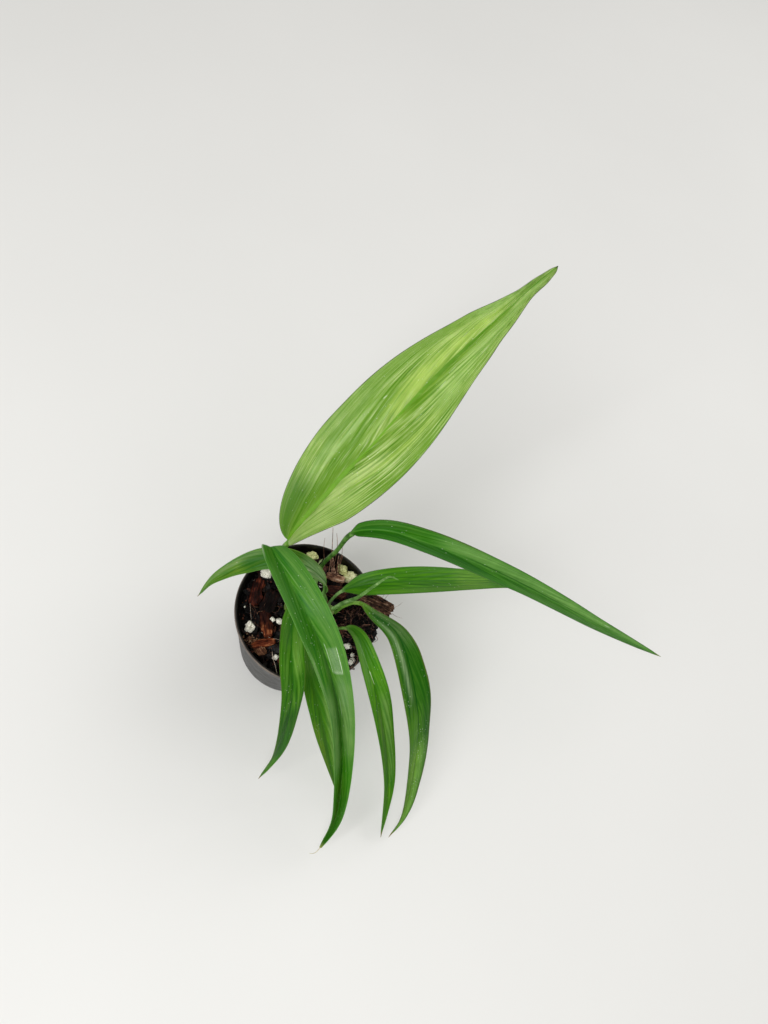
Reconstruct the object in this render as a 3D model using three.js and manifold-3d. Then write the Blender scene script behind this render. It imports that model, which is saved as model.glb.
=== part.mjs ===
// Potted silver streak pothos: nine strap-shaped leaves and a furled one on two short vines,
// in a small black nursery pot of chunky growing mix. Millimetres, +Z up, origin at the middle
// of the pot's underside.
import * as THREE from "three";
import { mergeVertices } from "three/addons/utils/BufferGeometryUtils.js";
import Module from "manifold-3d";

const wasm = await Module();
wasm.setup();

// Pot
const POT_TOP_RADIUS = 40;
const POT_BASE_RADIUS = 31;
const POT_HEIGHT = 68;
const POT_WALL = 1;
const POT_FLOOR = 1.4;
const LIP_STEP = 0.5; // the lip stands this far out of the wall
const LIP_HEIGHT = 2.4;
const DRAIN_HOLES = 8;
const DRAIN_RADIUS = 24; // circle that the drainage holes lie on
const DRAIN_SIZE = 6;
const POT_SIDES = 48;
const LIP_FOOT = POT_HEIGHT - LIP_HEIGHT;
const WALL_SLOPE = (POT_TOP_RADIUS - LIP_STEP - POT_BASE_RADIUS) / POT_HEIGHT;

// Growing mix
const GAP = 0.3; // between pieces that touch
const MIX_LEVEL = 59; // mean height of its surface
const MIX_SIDES = 32;
const MOUND = { azimuth: -14, height: 7.5, spread: 46, from: 19 }; // heaped side, front right
const SMALL_BARK = 24;
const SMALL_PUMICE = 12;
const STREWN_BAND = [11, 35]; // distances from the middle between which they lie
const STREWN_SIZE = [1.4, 3.5];
const CLUMPS = [
  { azimuth: -8, r: 36.5, z: 68, size: 4.4 },
  { azimuth: -18, r: 36, z: 69, size: 4.8 },
  { azimuth: -28, r: 36, z: 67.5, size: 4 },
  { azimuth: 20, r: 28.5, z: 63.4, size: 4.4 },
];
const PUMICE_WHITE = 0xd9d8c4;

// Leaves
const BLADE_THICKNESS = 0.8;
const MARGIN_THICKNESS = 0.7;
const MIDRIB_KEEL = 1.7; // how far the midrib stands below the blade at its base
const PETIOLE_HALF_WIDTH = 1.5;
const TIP_HALF_WIDTH = 0.4;
const PETIOLE_STEP = 5; // spacing of cross-sections along a petiole
const BLADE_STEPS = 16;

const LEAF_GREEN = 0x3f7a24;
const SILVER_GREEN = 0x7fae45;

// petiole: points from the stem to the blade; blade: points along the midrib to the tip.
// width is the blade's, flat; rise and fall shape its outline, and fold (half-angle of the
// shallow V) and roll are in degrees at the blade's base, middle and tip.
const LEAVES = {
  leaf_silver_streak: {
    petiole: [[-9.5, 7.3, 68], [-11, 15, 70], [-15, 26, 74], [-17, 29, 84]],
    blade: [
      [-17, 27, 100], [0, 46, 120], [21, 70, 147], [55, 106, 175], [86, 139, 189], [106, 161, 190],
    ],
    width: 52,
    rise: 0.55,
    fall: 1.46,
    fold: [42, 11, 36],
    roll: [-18, 8, -13],
    color: SILVER_GREEN,
  },
  leaf_arched_right: {
    petiole: [[5.7, -1.5, 70], [2, 6, 73], [2, 14, 77], [4, 21, 84], [8, 22, 106]],
    blade: [
      [11, 24, 126], [25, 22, 138], [46, 18, 138], [100, 11, 116], [173, 0, 80], [230, -7, 52],
    ],
    width: 16,
    rise: 0.38,
    fall: 0.84,
    fold: [37, 39, 15],
    roll: [16, 12, -8],
    color: LEAF_GREEN,
  },
  leaf_low_right: {
    petiole: [[9, -1.1, 76], [10, 2, 80], [12, 4, 87]],
    blade: [[14, 5, 92], [25, 7, 99], [43, 9, 103], [84, 17, 92], [115, 24, 78], [151, 27, 60]],
    width: 16,
    rise: 0.42,
    fall: 0.97,
    fold: [20, 16, 16],
    roll: [13, -14, 4],
    color: LEAF_GREEN,
  },
  leaf_front: {
    petiole: [[-8, 4, 84.6], [-14, 4, 97], [-22, 6, 108], [-28, 10, 115]],
    blade: [
      [-31, 15, 120], [-25, 5, 125], [-11, -18, 125], [1, -34, 112], [17, -61, 80],
      [26, -100, 37], [22, -119, 8],
    ],
    width: 24.5,
    rise: 0.26,
    fall: 0.61,
    fold: [8, 58, 66],
    roll: [-21, 6, 37],
    color: LEAF_GREEN,
  },
  leaf_small_left: {
    petiole: [[8, -0.3, 66], [9, 4, 70]],
    blade: [
      [8, 8, 77], [6, 11, 86], [-4, 16, 93], [-18, 19, 95], [-31, 19, 90], [-50, 11, 79],
      [-60, 6, 60],
    ],
    width: 12,
    rise: 0.67,
    fall: 0.88,
    fold: [16, 10, 60],
    roll: [14, -23, 15],
    color: LEAF_GREEN,
  },
  leaf_drooping_right: {
    petiole: [[12.2, -3.7, 82], [16, -2.5, 90]],
    blade: [
      [22, -3, 99], [28, -10, 104], [42, -19, 101], [59, -50, 78], [67, -74, 48],
      [68, -103, 15], [63, -113, 5],
    ],
    width: 20.5,
    rise: 0.81,
    fall: 0.84,
    fold: [43, 8, 24],
    roll: [44, -28, -25],
    color: LEAF_GREEN,
  },
  leaf_drooping_narrow: {
    petiole: [[8.6, -8.6, 72], [9.5, -12, 80], [13, -14, 86]],
    blade: [
      [17, -14, 90], [23, -20, 95], [31, -36, 90], [42, -54, 69], [55, -85, 34], [58, -113, 6],
    ],
    width: 14,
    rise: 0.53,
    fall: 0.91,
    fold: [35, 15, 20],
    roll: [19, -23, -17],
    color: LEAF_GREEN,
  },
  leaf_drooping_left: {
    petiole: [[-9.3, 0.3, 74], [-10, -2.5, 84]],
    blade: [
      [-10, -4, 94], [-13, -19, 103], [-13, -34, 105], [-9, -49, 89], [-9, -69, 54],
      [-15, -83, 10],
    ],
    width: 13.5,
    rise: 0.36,
    fall: 0.79,
    fold: [19, 2, 52],
    roll: [4, -35, -29],
    color: LEAF_GREEN,
  },
  leaf_under: {
    petiole: [[5.5, -8.4, 66], [4, -12, 72]],
    blade: [[-1, -18, 74], [1, -34, 76], [11, -54, 58], [21, -71, 32], [30, -87, 8]],
    width: 13,
    rise: 0.5,
    fall: 0.9,
    fold: [22, 16, 31],
    roll: [-2, 4, -11],
    color: 0x5b8a1c,
  },
};

// Round stems: path and radius along it, foot first.
const STEMS = {
  stem_front: {
    path: [[6, -4, 42], [6.6, -4.5, 62], [8, -5, 76], [8.8, -4.7, 88]],
    radii: [3, 3.2, 2.9, 2.6],
    color: 0x5d8034,
  },
  stem_back: {
    path: [[-9, 3, 42], [-9, 3.5, 60], [-8.5, 4, 74], [-8, 4, 83.6]],
    radii: [3, 3.2, 2.9, 2.6],
    color: 0x5d8034,
  },
  new_leaf_furled: {
    path: [[9.8, -4.5, 89.2], [14, -3, 96], [19, -3, 106], [24, -2, 124], [28, -2, 138],
      [31, -5, 143]],
    radii: [1.1, 1.5, 1.5, 1.2, 0.8, 0.4],
    color: 0x9db286,
  },
  dry_stalk: {
    path: [[16, 22.5, 50], [15.4, 23.4, 62], [12.5, 26, 72], [10.7, 28, 80]],
    radii: [1.2, 1.2, 1, 0.6],
    color: 0x7a5638,
  },
};
const HOLED = ["stem_front", "stem_back", "dry_stalk"]; // these stand in holes in the mix

// Pieces that lie in the mix: size along, across and up; turn about Z and tilt of the long
// side, in degrees. The side of the tilt that is up is the far end of the long side.
const CHIPS = {
  bark_chip_left: {
    at: [-28.3, 10.5, 61.5], size: [15, 6.5, 4.5], turn: 80, tilt: 4, seed: 11, color: 0x6b4030,
  },
  bark_chip_inner: {
    at: [-21.8, -6.5, 61.3], size: [16.5, 6, 5], turn: -80, tilt: 7, seed: 12, color: 0x7c4a35,
  },
  bark_chip_back: {
    at: [17, 14.6, 60.6], size: [12, 6.5, 4], turn: -10, tilt: 3, seed: 13, color: 0x8a6347,
  },
  bark_chip_front: {
    at: [-25, -21, 60.4], size: [9, 5.5, 4], turn: -50, tilt: -3, seed: 14, color: 0x94704e,
  },
  husk_chunk: {
    at: [37.2, 6, 72.1], size: [22, 9, 7], turn: -27, tilt: 17, seed: 15, color: 0x4d4039,
  },
};
const PUMICE = {
  pumice_left: { at: [-23.2, 23.6, 61], radii: [4.2, 3.2, 3.2], turn: 20, seed: 21 },
  pumice_front: { at: [-31, -9.5, 60.6], radii: [3.4, 2.8, 2.8], turn: 70, seed: 22 },
  pumice_back: { at: [19, 27.6, 61], radii: [3.4, 2.8, 2.8], turn: -30, seed: 23 },
  pumice_right: { at: [25, 22.6, 61.6], radii: [3.9, 3.3, 3.2], turn: 15, seed: 24 },
};

const rad = THREE.MathUtils.degToRad;
const vec = (p) => new THREE.Vector3(...p);

// Seeded random numbers from 0 to 1.
function seeded(seed) {
  let state = seed * 2654435761;
  return () => {
    state = (state + 0x6d2b79f5) | 0;
    let t = Math.imul(state ^ (state >>> 15), 1 | state);
    t = (t + Math.imul(t ^ (t >>> 7), 61 | t)) ^ t;
    return ((t ^ (t >>> 14)) >>> 0) / 4294967296;
  };
}

// The value at t (0 to 1) between three given at the start, middle and end.
function threePoint(values, t) {
  const half = t < 0.5 ? 0 : 1;
  return THREE.MathUtils.lerp(values[half], values[half + 1], t * 2 - half);
}

function welded(geometry) {
  const bare = new THREE.BufferGeometry().setAttribute("position", geometry.getAttribute("position"));
  if (geometry.index) bare.setIndex(geometry.index);
  return mergeVertices(bare, 1e-4);
}

function toSolid(geometry) {
  const g = welded(geometry);
  return new wasm.Manifold(
    new wasm.Mesh({
      numProp: 3,
      vertProperties: new Float32Array(g.attributes.position.array),
      triVerts: new Uint32Array(g.index.array),
    }),
  );
}

function toGeometry(solid) {
  const mesh = solid.getMesh();
  return new THREE.BufferGeometry()
    .setAttribute("position", new THREE.BufferAttribute(mesh.vertProperties, 3))
    .setIndex(new THREE.BufferAttribute(mesh.triVerts, 1));
}

// A closed skin over rings of points, all with the same number of points, with a fan at each end.
function skin(rings) {
  const count = rings[0].length;
  const positions = rings.flat().flatMap((p) => [p.x, p.y, p.z]);
  const index = [];
  for (let i = 0; i + 1 < rings.length; i++) {
    for (let j = 0; j < count; j++) {
      const a = i * count + j;
      const b = i * count + ((j + 1) % count);
      // The upper and the lower face of a blade are split along the same diagonal.
      if (j < count / 2) index.push(a, b, b + count, a, b + count, a + count);
      else index.push(a, b, a + count, b, b + count, a + count);
    }
  }
  const centreOf = (ring) =>
    ring.reduce((sum, p) => sum.add(p), new THREE.Vector3()).divideScalar(count);
  for (const ring of [rings[0], rings.at(-1)]) positions.push(...centreOf(ring).toArray());
  const foot = rings.length * count;
  const last = (rings.length - 1) * count;
  for (let j = 0; j < count; j++) {
    const next = (j + 1) % count;
    index.push(foot, next, j, foot + 1, last + j, last + next);
  }
  return new THREE.BufferGeometry()
    .setAttribute("position", new THREE.Float32BufferAttribute(positions, 3))
    .setIndex(index);
}

function curveThrough(points) {
  const curve = new THREE.CatmullRomCurve3(points.map(vec), false, "centripetal");
  curve.arcLengthDivisions = 400;
  return curve;
}

// Share of the curve's length that lies before its control point number k.
function shareAt(curve, k) {
  const lengths = curve.getLengths();
  const place = Math.round((k / (curve.points.length - 1)) * (lengths.length - 1));
  return lengths[place] / lengths.at(-1);
}

// One leaf, petiole and blade in one: a shallow V in section, with a keel under the midrib.
function leafGeometry(leaf) {
  const curve = curveThrough([...leaf.petiole, ...leaf.blade]);
  const start = shareAt(curve, leaf.petiole.length);
  const base = curve.getPointAt(start);
  const chord = curve.getPointAt(1).sub(base);
  const across = new THREE.Vector3(-chord.y, chord.x, 0).normalize();
  const peak = leaf.rise / (leaf.rise + leaf.fall);
  const profile = (u) => u ** leaf.rise * (1 - u) ** leaf.fall;
  const petioleSteps = Math.round((curve.getLength() * start) / PETIOLE_STEP);
  const stations = [];
  for (let i = 0; i < petioleSteps; i++) stations.push((start * i) / petioleSteps);
  for (let i = 0; i <= BLADE_STEPS; i++) {
    stations.push(start + (1 - start) * (i / BLADE_STEPS) ** 1.15);
  }
  const rings = stations.map((s) => {
    const u = Math.max(0, (s - start) / (1 - start));
    const along = curve.getTangentAt(s);
    const side = across.clone().addScaledVector(along, -across.dot(along)).normalize();
    side.applyAxisAngle(along, rad(threePoint(leaf.roll, u)));
    const up = along.clone().cross(side);
    const bladeHalf = (leaf.width / 2) * (profile(u) / profile(peak));
    const least = THREE.MathUtils.lerp(PETIOLE_HALF_WIDTH, TIP_HALF_WIDTH, Math.sqrt(u));
    const half = Math.max(bladeHalf, least);
    const fold = rad(threePoint(leaf.fold, u)) * Math.min(1, bladeHalf / PETIOLE_HALF_WIDTH);
    const keel = MIDRIB_KEEL * (1 - u) ** 4;
    const flank = 0.7 * keel * Math.max(0, 1 - u / 0.06);
    const middle = curve.getPointAt(s);
    // A point of the section: a runs from -1 at one margin to 1 at the other.
    const at = (a, lift) => {
      const sign = Math.sign(a);
      const x = Math.abs(a) * half;
      return middle
        .clone()
        .addScaledVector(side, sign * (x * Math.cos(fold) - lift * Math.sin(fold)))
        .addScaledVector(up, x * Math.sin(fold) + lift * Math.cos(fold));
    };
    const ridge = (lift) => middle.clone().addScaledVector(up, lift / Math.cos(fold));
    const t = BLADE_THICKNESS / 2;
    const m = MARGIN_THICKNESS / 2;
    return [
      at(-1, m), at(-0.5, t), ridge(t), at(0.5, t), at(1, m),
      at(1, -m), at(0.5, -t - flank), ridge(-t - keel), at(-0.5, -t - flank), at(-1, -m),
    ].reverse();
  });
  return skin(rings);
}

// A round stem whose radius changes along its path.
function stemGeometry(stem, extra = 0, sides = 10) {
  const curve = curveThrough(stem.path);
  const steps = Math.round(curve.getLength() / 5);
  const across = new THREE.Vector3(0, 1, 0);
  const rings = [];
  for (let i = 0; i <= steps; i++) {
    const s = i / steps;
    const along = curve.getTangentAt(s);
    const side = across.clone().cross(along).normalize();
    const other = along.clone().cross(side);
    const place = s * (stem.radii.length - 1);
    const k = Math.min(Math.floor(place), stem.radii.length - 2);
    const radius = THREE.MathUtils.lerp(stem.radii[k], stem.radii[k + 1], place - k) + extra;
    const middle = curve.getPointAt(s).addScaledVector(along, i === 0 ? -extra : 0);
    rings.push(
      Array.from({ length: sides }, (_, j) => {
        const turn = (2 * Math.PI * j) / sides;
        return middle
          .clone()
          .addScaledVector(side, radius * Math.cos(turn))
          .addScaledVector(other, radius * Math.sin(turn));
      }),
    );
  }
  return skin(rings);
}

// Turns a profile of [radius, height] pairs about +Z.
function turned(profile, sides) {
  const points = profile.map(([r, z]) => new THREE.Vector2(r, z));
  return new THREE.LatheGeometry(points, sides).rotateX(Math.PI / 2);
}

function potSolid() {
  const outer = (z) => POT_BASE_RADIUS + WALL_SLOPE * z;
  const body = turned(
    [
      [0, 0], [POT_BASE_RADIUS, 0], [outer(LIP_FOOT - LIP_STEP), LIP_FOOT - LIP_STEP],
      [POT_TOP_RADIUS - 0.1, LIP_FOOT], [POT_TOP_RADIUS, POT_HEIGHT - 0.3],
      [POT_TOP_RADIUS - 0.3, POT_HEIGHT], [POT_TOP_RADIUS - POT_WALL, POT_HEIGHT],
      [outer(LIP_FOOT) - POT_WALL, LIP_FOOT], [outer(POT_FLOOR) - POT_WALL, POT_FLOOR], [0, POT_FLOOR],
    ],
    POT_SIDES,
  );
  const drains = Array.from({ length: DRAIN_HOLES }, (_, i) =>
    toSolid(
      new THREE.CylinderGeometry(DRAIN_SIZE / 2, DRAIN_SIZE / 2, 4 * POT_FLOOR, 12)
        .rotateX(Math.PI / 2)
        .translate(DRAIN_RADIUS, 0, 0)
        .rotateZ((2 * Math.PI * i) / DRAIN_HOLES),
    ),
  );
  return toSolid(body).subtract(wasm.Manifold.union(drains));
}

// Height of the mix's surface: uneven, and heaped up towards the rim on one side.
function mixHeight(x, y) {
  const r = Math.hypot(x, y);
  const azimuth = THREE.MathUtils.radToDeg(Math.atan2(y, x));
  const away = Math.abs(azimuth - MOUND.azimuth) / MOUND.spread;
  const heap = Math.max(0, 1 - away * away) * THREE.MathUtils.smoothstep(r, MOUND.from, 38);
  const bumps = Math.sin(x * 0.52 + 1) * Math.cos(y * 0.47) + 0.7 * Math.sin(x * 0.21 - y * 0.33);
  return MIX_LEVEL + 0.9 * bumps + MOUND.height * heap;
}

// Puts an object where a chip or lump lies: rolled, then tilted, then turned.
function pose(object, { at, turn = 0, tilt = 0, roll = 0 }) {
  object.position.set(...at);
  object.rotation.set(rad(roll), rad(-tilt), rad(turn), "ZYX");
  return object;
}

function placed(geometry, piece) {
  const holder = pose(new THREE.Object3D(), piece);
  holder.updateMatrix();
  return geometry.applyMatrix4(holder.matrix);
}

// Pushes each point in or out by up to half of the amount, as a share of its distance.
function roughened(geometry, amount, seed) {
  const g = welded(geometry);
  const random = seeded(seed);
  const p = g.getAttribute("position");
  for (let i = 0; i < p.count; i++) {
    const push = 1 + amount * (random() - 0.5);
    p.setXYZ(i, p.getX(i) * push, p.getY(i) * push, p.getZ(i) * (1 + amount * (random() - 0.5)));
  }
  return g;
}

function chipGeometry(chip, extra = 0) {
  const g = roughened(new THREE.BoxGeometry(1, 1, 1, 4, 2, 1), 0.34, chip.seed);
  return g.scale(...chip.size.map((d) => d + 2 * extra));
}

function pumiceGeometry(lump, extra = 0) {
  const g = roughened(new THREE.IcosahedronGeometry(1, 1), 0.3, lump.seed);
  return g.scale(...lump.radii.map((r) => r + extra));
}

// Small bark and pumice strewn over the mix, half sunk in it.
function strewnSolids() {
  const random = seeded(5);
  const nearest = STREWN_BAND[0];
  const band = STREWN_BAND[1] - nearest;
  return Array.from({ length: SMALL_BARK + SMALL_PUMICE }, (_, i) => {
    const r = nearest + band * Math.sqrt(random());
    const azimuth = 2 * Math.PI * random();
    const size = THREE.MathUtils.lerp(...STREWN_SIZE, random());
    const x = r * Math.cos(azimuth);
    const y = r * Math.sin(azimuth);
    const at = [x, y, mixHeight(x, y) + 0.35 * size];
    const lie = { at, turn: 360 * random(), tilt: 40 * random() - 20, roll: 60 * random() - 30 };
    const block =
      i < SMALL_BARK
        ? new THREE.BoxGeometry(2.6 * size, 1.4 * size, size)
        : new THREE.IcosahedronGeometry(0.9 * size, 0);
    return toSolid(placed(roughened(block, 0.4, 100 + i), lie));
  });
}

// Fibrous clumps on the heaped side: some lean over the rim, and one bears the husk's end.
function clumpSolids() {
  return CLUMPS.map(({ azimuth, r, z, size }) => {
    const clump = roughened(new THREE.IcosahedronGeometry(size, 1), 0.35, 60 - azimuth);
    const at = [r * Math.cos(rad(azimuth)), r * Math.sin(rad(azimuth)), z];
    return toSolid(placed(clump, { at, turn: azimuth }));
  });
}

// The mix fills the pot up to a gap from its wall. Holes are left for what stands in it, and
// hollows for what lies in it.
function mixSolid() {
  const inner = (z) => POT_BASE_RADIUS + WALL_SLOPE * z - POT_WALL - 1.5 * GAP;
  const foot = POT_FLOOR + GAP;
  const shoulder = MIX_LEVEL - 4;
  const rings = [inner(MIX_LEVEL), 33, 28.5, 23, 16, 8, 0];
  const bed = turned(
    [[0, foot], [inner(foot), foot], [inner(shoulder), shoulder], ...rings.map((r) => [r, MIX_LEVEL])],
    MIX_SIDES,
  );
  const p = bed.getAttribute("position");
  for (let i = 0; i < p.count; i++) {
    if (p.getZ(i) > shoulder + 1) p.setZ(i, mixHeight(p.getX(i), p.getY(i)));
  }
  // The wall and lip of the pot with the gap round them, and the space outside.
  const outside = POT_TOP_RADIUS + 12;
  const ringFoot = shoulder - 1;
  const wallSpace = turned(
    [
      [outside, ringFoot], [outside, POT_HEIGHT + GAP],
      [POT_TOP_RADIUS - POT_WALL - GAP, POT_HEIGHT + GAP], [inner(LIP_FOOT) + 0.1, LIP_FOOT],
      [inner(ringFoot) + 0.1, ringFoot], [outside, ringFoot],
    ],
    POT_SIDES,
  );
  const cutters = [
    wallSpace,
    ...HOLED.map((name) => stemGeometry(STEMS[name], GAP)),
    ...Object.values(CHIPS).map((chip) => placed(chipGeometry(chip, GAP), chip)),
    ...Object.values(PUMICE).map((lump) => placed(pumiceGeometry(lump, GAP), lump)),
  ];
  const solid = wasm.Manifold.union([toSolid(bed), ...strewnSolids(), ...clumpSolids()])
    .subtract(wasm.Manifold.union(cutters.map(toSolid)))
    .simplify(0.1);
  return solid.decompose().sort((a, b) => b.volume() - a.volume())[0];
}

function meshOf(name, geometry, color, roughness) {
  const material = new THREE.MeshStandardMaterial({ color, roughness, metalness: 0 });
  const mesh = new THREE.Mesh(geometry, material);
  mesh.name = name;
  return mesh;
}

const container = new THREE.Group();
container.add(meshOf("pot", toGeometry(potSolid()), 0x121212, 0.25));
container.add(meshOf("growing_mix", toGeometry(mixSolid()), 0x2a1d17, 0.9));
for (const [name, chip] of Object.entries(CHIPS)) {
  container.add(pose(meshOf(name, chipGeometry(chip), chip.color, 0.85), chip));
}
for (const [name, lump] of Object.entries(PUMICE)) {
  container.add(pose(meshOf(name, pumiceGeometry(lump), PUMICE_WHITE, 0.9), lump));
}

const plant = new THREE.Group();
for (const [name, stem] of Object.entries(STEMS)) {
  plant.add(meshOf(name, stemGeometry(stem), stem.color, 0.5));
}
for (const [name, leaf] of Object.entries(LEAVES)) {
  plant.add(meshOf(name, leafGeometry(leaf), leaf.color, 0.4));
}

const group = new THREE.Group();
group.name = "potted_silver_streak_pothos";
group.add(container, plant);

export default group;
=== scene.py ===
import bisect
import random
from functools import partial
from math import atan2, copysign, cos, degrees, exp, hypot, pi, radians, sin, sqrt, tau

import bmesh
import bpy
from mathutils import Matrix, Vector, geometry, noise


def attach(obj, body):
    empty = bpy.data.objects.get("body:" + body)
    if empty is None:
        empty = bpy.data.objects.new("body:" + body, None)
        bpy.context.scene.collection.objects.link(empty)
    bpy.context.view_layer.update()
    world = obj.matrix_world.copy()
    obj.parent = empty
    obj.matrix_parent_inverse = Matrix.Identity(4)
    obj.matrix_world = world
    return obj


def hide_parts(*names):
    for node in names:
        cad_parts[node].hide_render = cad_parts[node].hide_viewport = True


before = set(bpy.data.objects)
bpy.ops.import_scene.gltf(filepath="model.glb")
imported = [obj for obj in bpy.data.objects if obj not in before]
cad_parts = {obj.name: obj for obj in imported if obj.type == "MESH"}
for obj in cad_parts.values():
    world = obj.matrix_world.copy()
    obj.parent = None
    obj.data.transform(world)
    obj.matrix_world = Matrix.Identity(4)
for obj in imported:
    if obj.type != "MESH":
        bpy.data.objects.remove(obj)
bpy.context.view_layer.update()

mm = 0.001
scene = bpy.context.scene
print("frame loaded:", len(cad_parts), "nodes")


# Small tools

times = dict(operation="MULTIPLY")
smooth = dict(interpolation_type="SMOOTHSTEP")


def toLinear(hexColour):
    parts = [int(hexColour[i:i + 2], 16) / 255 for i in (1, 3, 5)]
    return [p / 12.92 if p <= 0.04045 else ((p + 0.055) / 1.055) ** 2.4 for p in parts] + [1]


def mixed(start, end, share):
    return start + (end - start) * share


def eased(low, high, value):  # 0 below low, 1 above high, smooth between
    share = min(max((value - low) / (high - low), 0), 1)
    return share * share * (3 - 2 * share)


def aroundAxis(r, angle):
    return r * cos(angle), r * sin(angle)


def addNode(tree, kind, inputs=(), stops=(), **settings):
    # inputs by name, or listed in the node's own order with None for those left as they are
    node = tree.nodes.new("ShaderNode" + kind)
    for key, value in settings.items():
        setattr(node, key, value)
    for key, value in inputs.items() if isinstance(inputs, dict) else enumerate(inputs):
        if isinstance(value, bpy.types.Node):
            value = value.outputs[0]
        if isinstance(value, bpy.types.NodeSocket):
            tree.links.new(value, node.inputs[key])
        elif value is not None:
            node.inputs[key].default_value = toLinear(value) if isinstance(value, str) else value
    stops = list(stops)
    for place, colour in stops:
        elements = node.color_ramp.elements
        end = {stops[0][0]: 0, stops[-1][0]: -1}.get(place)
        element = elements.new(place) if end is None else elements[end]
        element.position, element.color = place, toLinear(colour)
    return node


def newMaterial(name, finish):
    material = bpy.data.materials.new(name)
    material.use_nodes = True
    for key, value in finish.items():
        material.node_tree.nodes["Principled BSDF"].inputs[key].default_value = value
    return material, partial(addNode, material.node_tree)


def shaded(material, colour, rough=None, relief=()):
    # relief: height, strength and depth in millimetres of each bump, over the one before
    tree, bump = material.node_tree, None
    for height, strength, depth in relief:
        dented = {"Height": height, "Strength": strength, "Distance": depth * mm, "Normal": bump}
        bump = addNode(tree, "Bump", dented)
    for source, target in ((colour, "Base Color"), (rough, "Roughness"), (bump, "Normal")):
        if source:
            tree.links.new(source.outputs[0], tree.nodes["Principled BSDF"].inputs[target])
    return material


def newObject(name, data):
    holder = bpy.data.objects.new(name, data)
    scene.collection.objects.link(holder)
    return holder


def meshFrom(bm, name, sharpAngle=None):
    for face in bm.faces:
        face.smooth = True
    if sharpAngle is not None:
        for edge in bm.edges:
            edge.smooth = edge.calc_face_angle(0) < radians(sharpAngle)
    mesh = bpy.data.meshes.new(name)
    bm.to_mesh(mesh)
    bm.free()
    return mesh


def addPiece(name, shape, materials, nodes, sharpAngle=None):
    # shape: a bmesh, or a curve
    data = meshFrom(shape, name, sharpAngle) if isinstance(shape, bmesh.types.BMesh) else shape
    for material in materials:
        data.materials.append(material)
    piece = newObject(name, data)
    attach(piece, "root")
    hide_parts(*nodes)


def joinInto(bm, part):
    carried = bpy.data.meshes.new("carried")
    part.to_mesh(carried)
    part.free()
    bm.from_mesh(carried)
    bpy.data.meshes.remove(carried)


def edgesOf(verts):  # each edge once, in the same order each run
    return list(dict.fromkeys(e for v in verts for e in v.link_edges))


def smoothRun(points, perSpan=30):
    # a line through the points, asked by its share of the length
    ends = [2 * points[0] - points[1], *points, 2 * points[-1] - points[-2]]
    line, marks = [], [0]
    for i in range(len(points) - 1):
        before, first, last, after = ends[i:i + 4]
        g0, g1, g2 = (sqrt((b - a).length) for a, b in zip(ends[i:i + 3], ends[i + 1:i + 4]))
        leaving = ((first - before) / g0 - (last - before) / (g0 + g1) + (last - first) / g1) * g1
        arriving = ((last - first) / g1 - (after - first) / (g1 + g2) + (after - last) / g2) * g1
        span = geometry.interpolate_bezier(first, first + leaving / 3, last - arriving / 3, last, perSpan + 1)
        line += span[1:] if line else span
        marks.append(len(line) - 1)
    lengths = [0]
    for a, b in zip(line, line[1:]):
        lengths.append(lengths[-1] + (b - a).length)
    shares = [length / lengths[-1] for length in lengths]

    def at(share):
        k = min(max(bisect.bisect_right(shares, share) - 1, 0), len(line) - 2)
        return line[k].lerp(line[k + 1], (share - shares[k]) / (shares[k + 1] - shares[k]))

    return at, lengths[-1], [shares[mark] for mark in marks]


def drawTube(bm, rings, sides=10, groove=0, slotNumber=0):
    # rings: centre, side, up and radius; groove dents the top of the round section
    made = bmesh.ops.create_circle(bm, cap_ends=True, segments=sides, radius=1)["verts"]
    faces = set(made[0].link_faces)
    for vert in made:
        vert.co *= 1 - groove * max(0, vert.co.y) ** 6
    edges = edgesOf(made)
    before = Matrix.Identity(4)
    for i, (centre, side, up, radius) in enumerate(rings):
        if i:
            grown = bmesh.ops.extrude_edge_only(bm, edges=edges)["geom"]
            made = [g for g in grown if isinstance(g, bmesh.types.BMVert)]
            new = set(made)
            edges = [g for g in grown if isinstance(g, bmesh.types.BMEdge) and set(g.verts) <= new]
        place = Matrix((side * radius, up * radius, side.cross(up) * radius)).transposed().to_4x4()
        place.translation = centre
        bmesh.ops.transform(bm, matrix=place @ before.inverted(), verts=made)
        faces |= {f for v in made for f in v.link_faces}
        before = place
    faces |= set(bmesh.ops.contextual_create(bm, geom=edges)["faces"])
    bmesh.ops.recalc_face_normals(bm, faces=list(faces))
    for face in faces:
        face.material_index = slotNumber


def tubeRings(points, radii, steps, wobble=0, seed=0):
    # evenly spaced rings along a smooth line, turned as little as possible
    at, length, marks = smoothRun([Vector(p) * mm for p in points])
    rings, side = [], None
    for i in range(steps + 1):
        share = i / steps
        along = (at(min(share + 0.01, 1)) - at(max(share - 0.01, 0))).normalized()
        side = side or along.orthogonal()
        side = (side - along * side.dot(along)).normalized()
        span = min(bisect.bisect_right(marks, share) - 1, len(radii) - 2)
        local = (share - marks[span]) / (marks[span + 1] - marks[span])
        radius = mixed(radii[span], radii[span + 1], min(local, 1))
        radius *= 1 + wobble * noise.noise(Vector((share * length / mm / 4, seed, 0)))
        rings.append((at(share), side, along.cross(side), radius * mm))
    return rings


# Camera at the photograph's angle, found by fitting the pot's mouth

view = dict(
    place=(-63.7, -128.4, 474.9), lens=27.07,
    right=(0.967, 0, 0.2549), up=(-0.1066, 0.9083, 0.4044), back=(-0.2315, -0.4182, 0.8783),
)
cameraData = bpy.data.cameras.new("camera")
cameraData.lens = view["lens"]
cameraData.sensor_width = 36
camera = newObject("camera", cameraData)
turned = Matrix((view["right"], view["up"], view["back"])).transposed()
camera.matrix_world = Matrix.Translation(Vector(view["place"]) * mm) @ turned.to_4x4()
scene.camera = camera

# Light and floor

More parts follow.
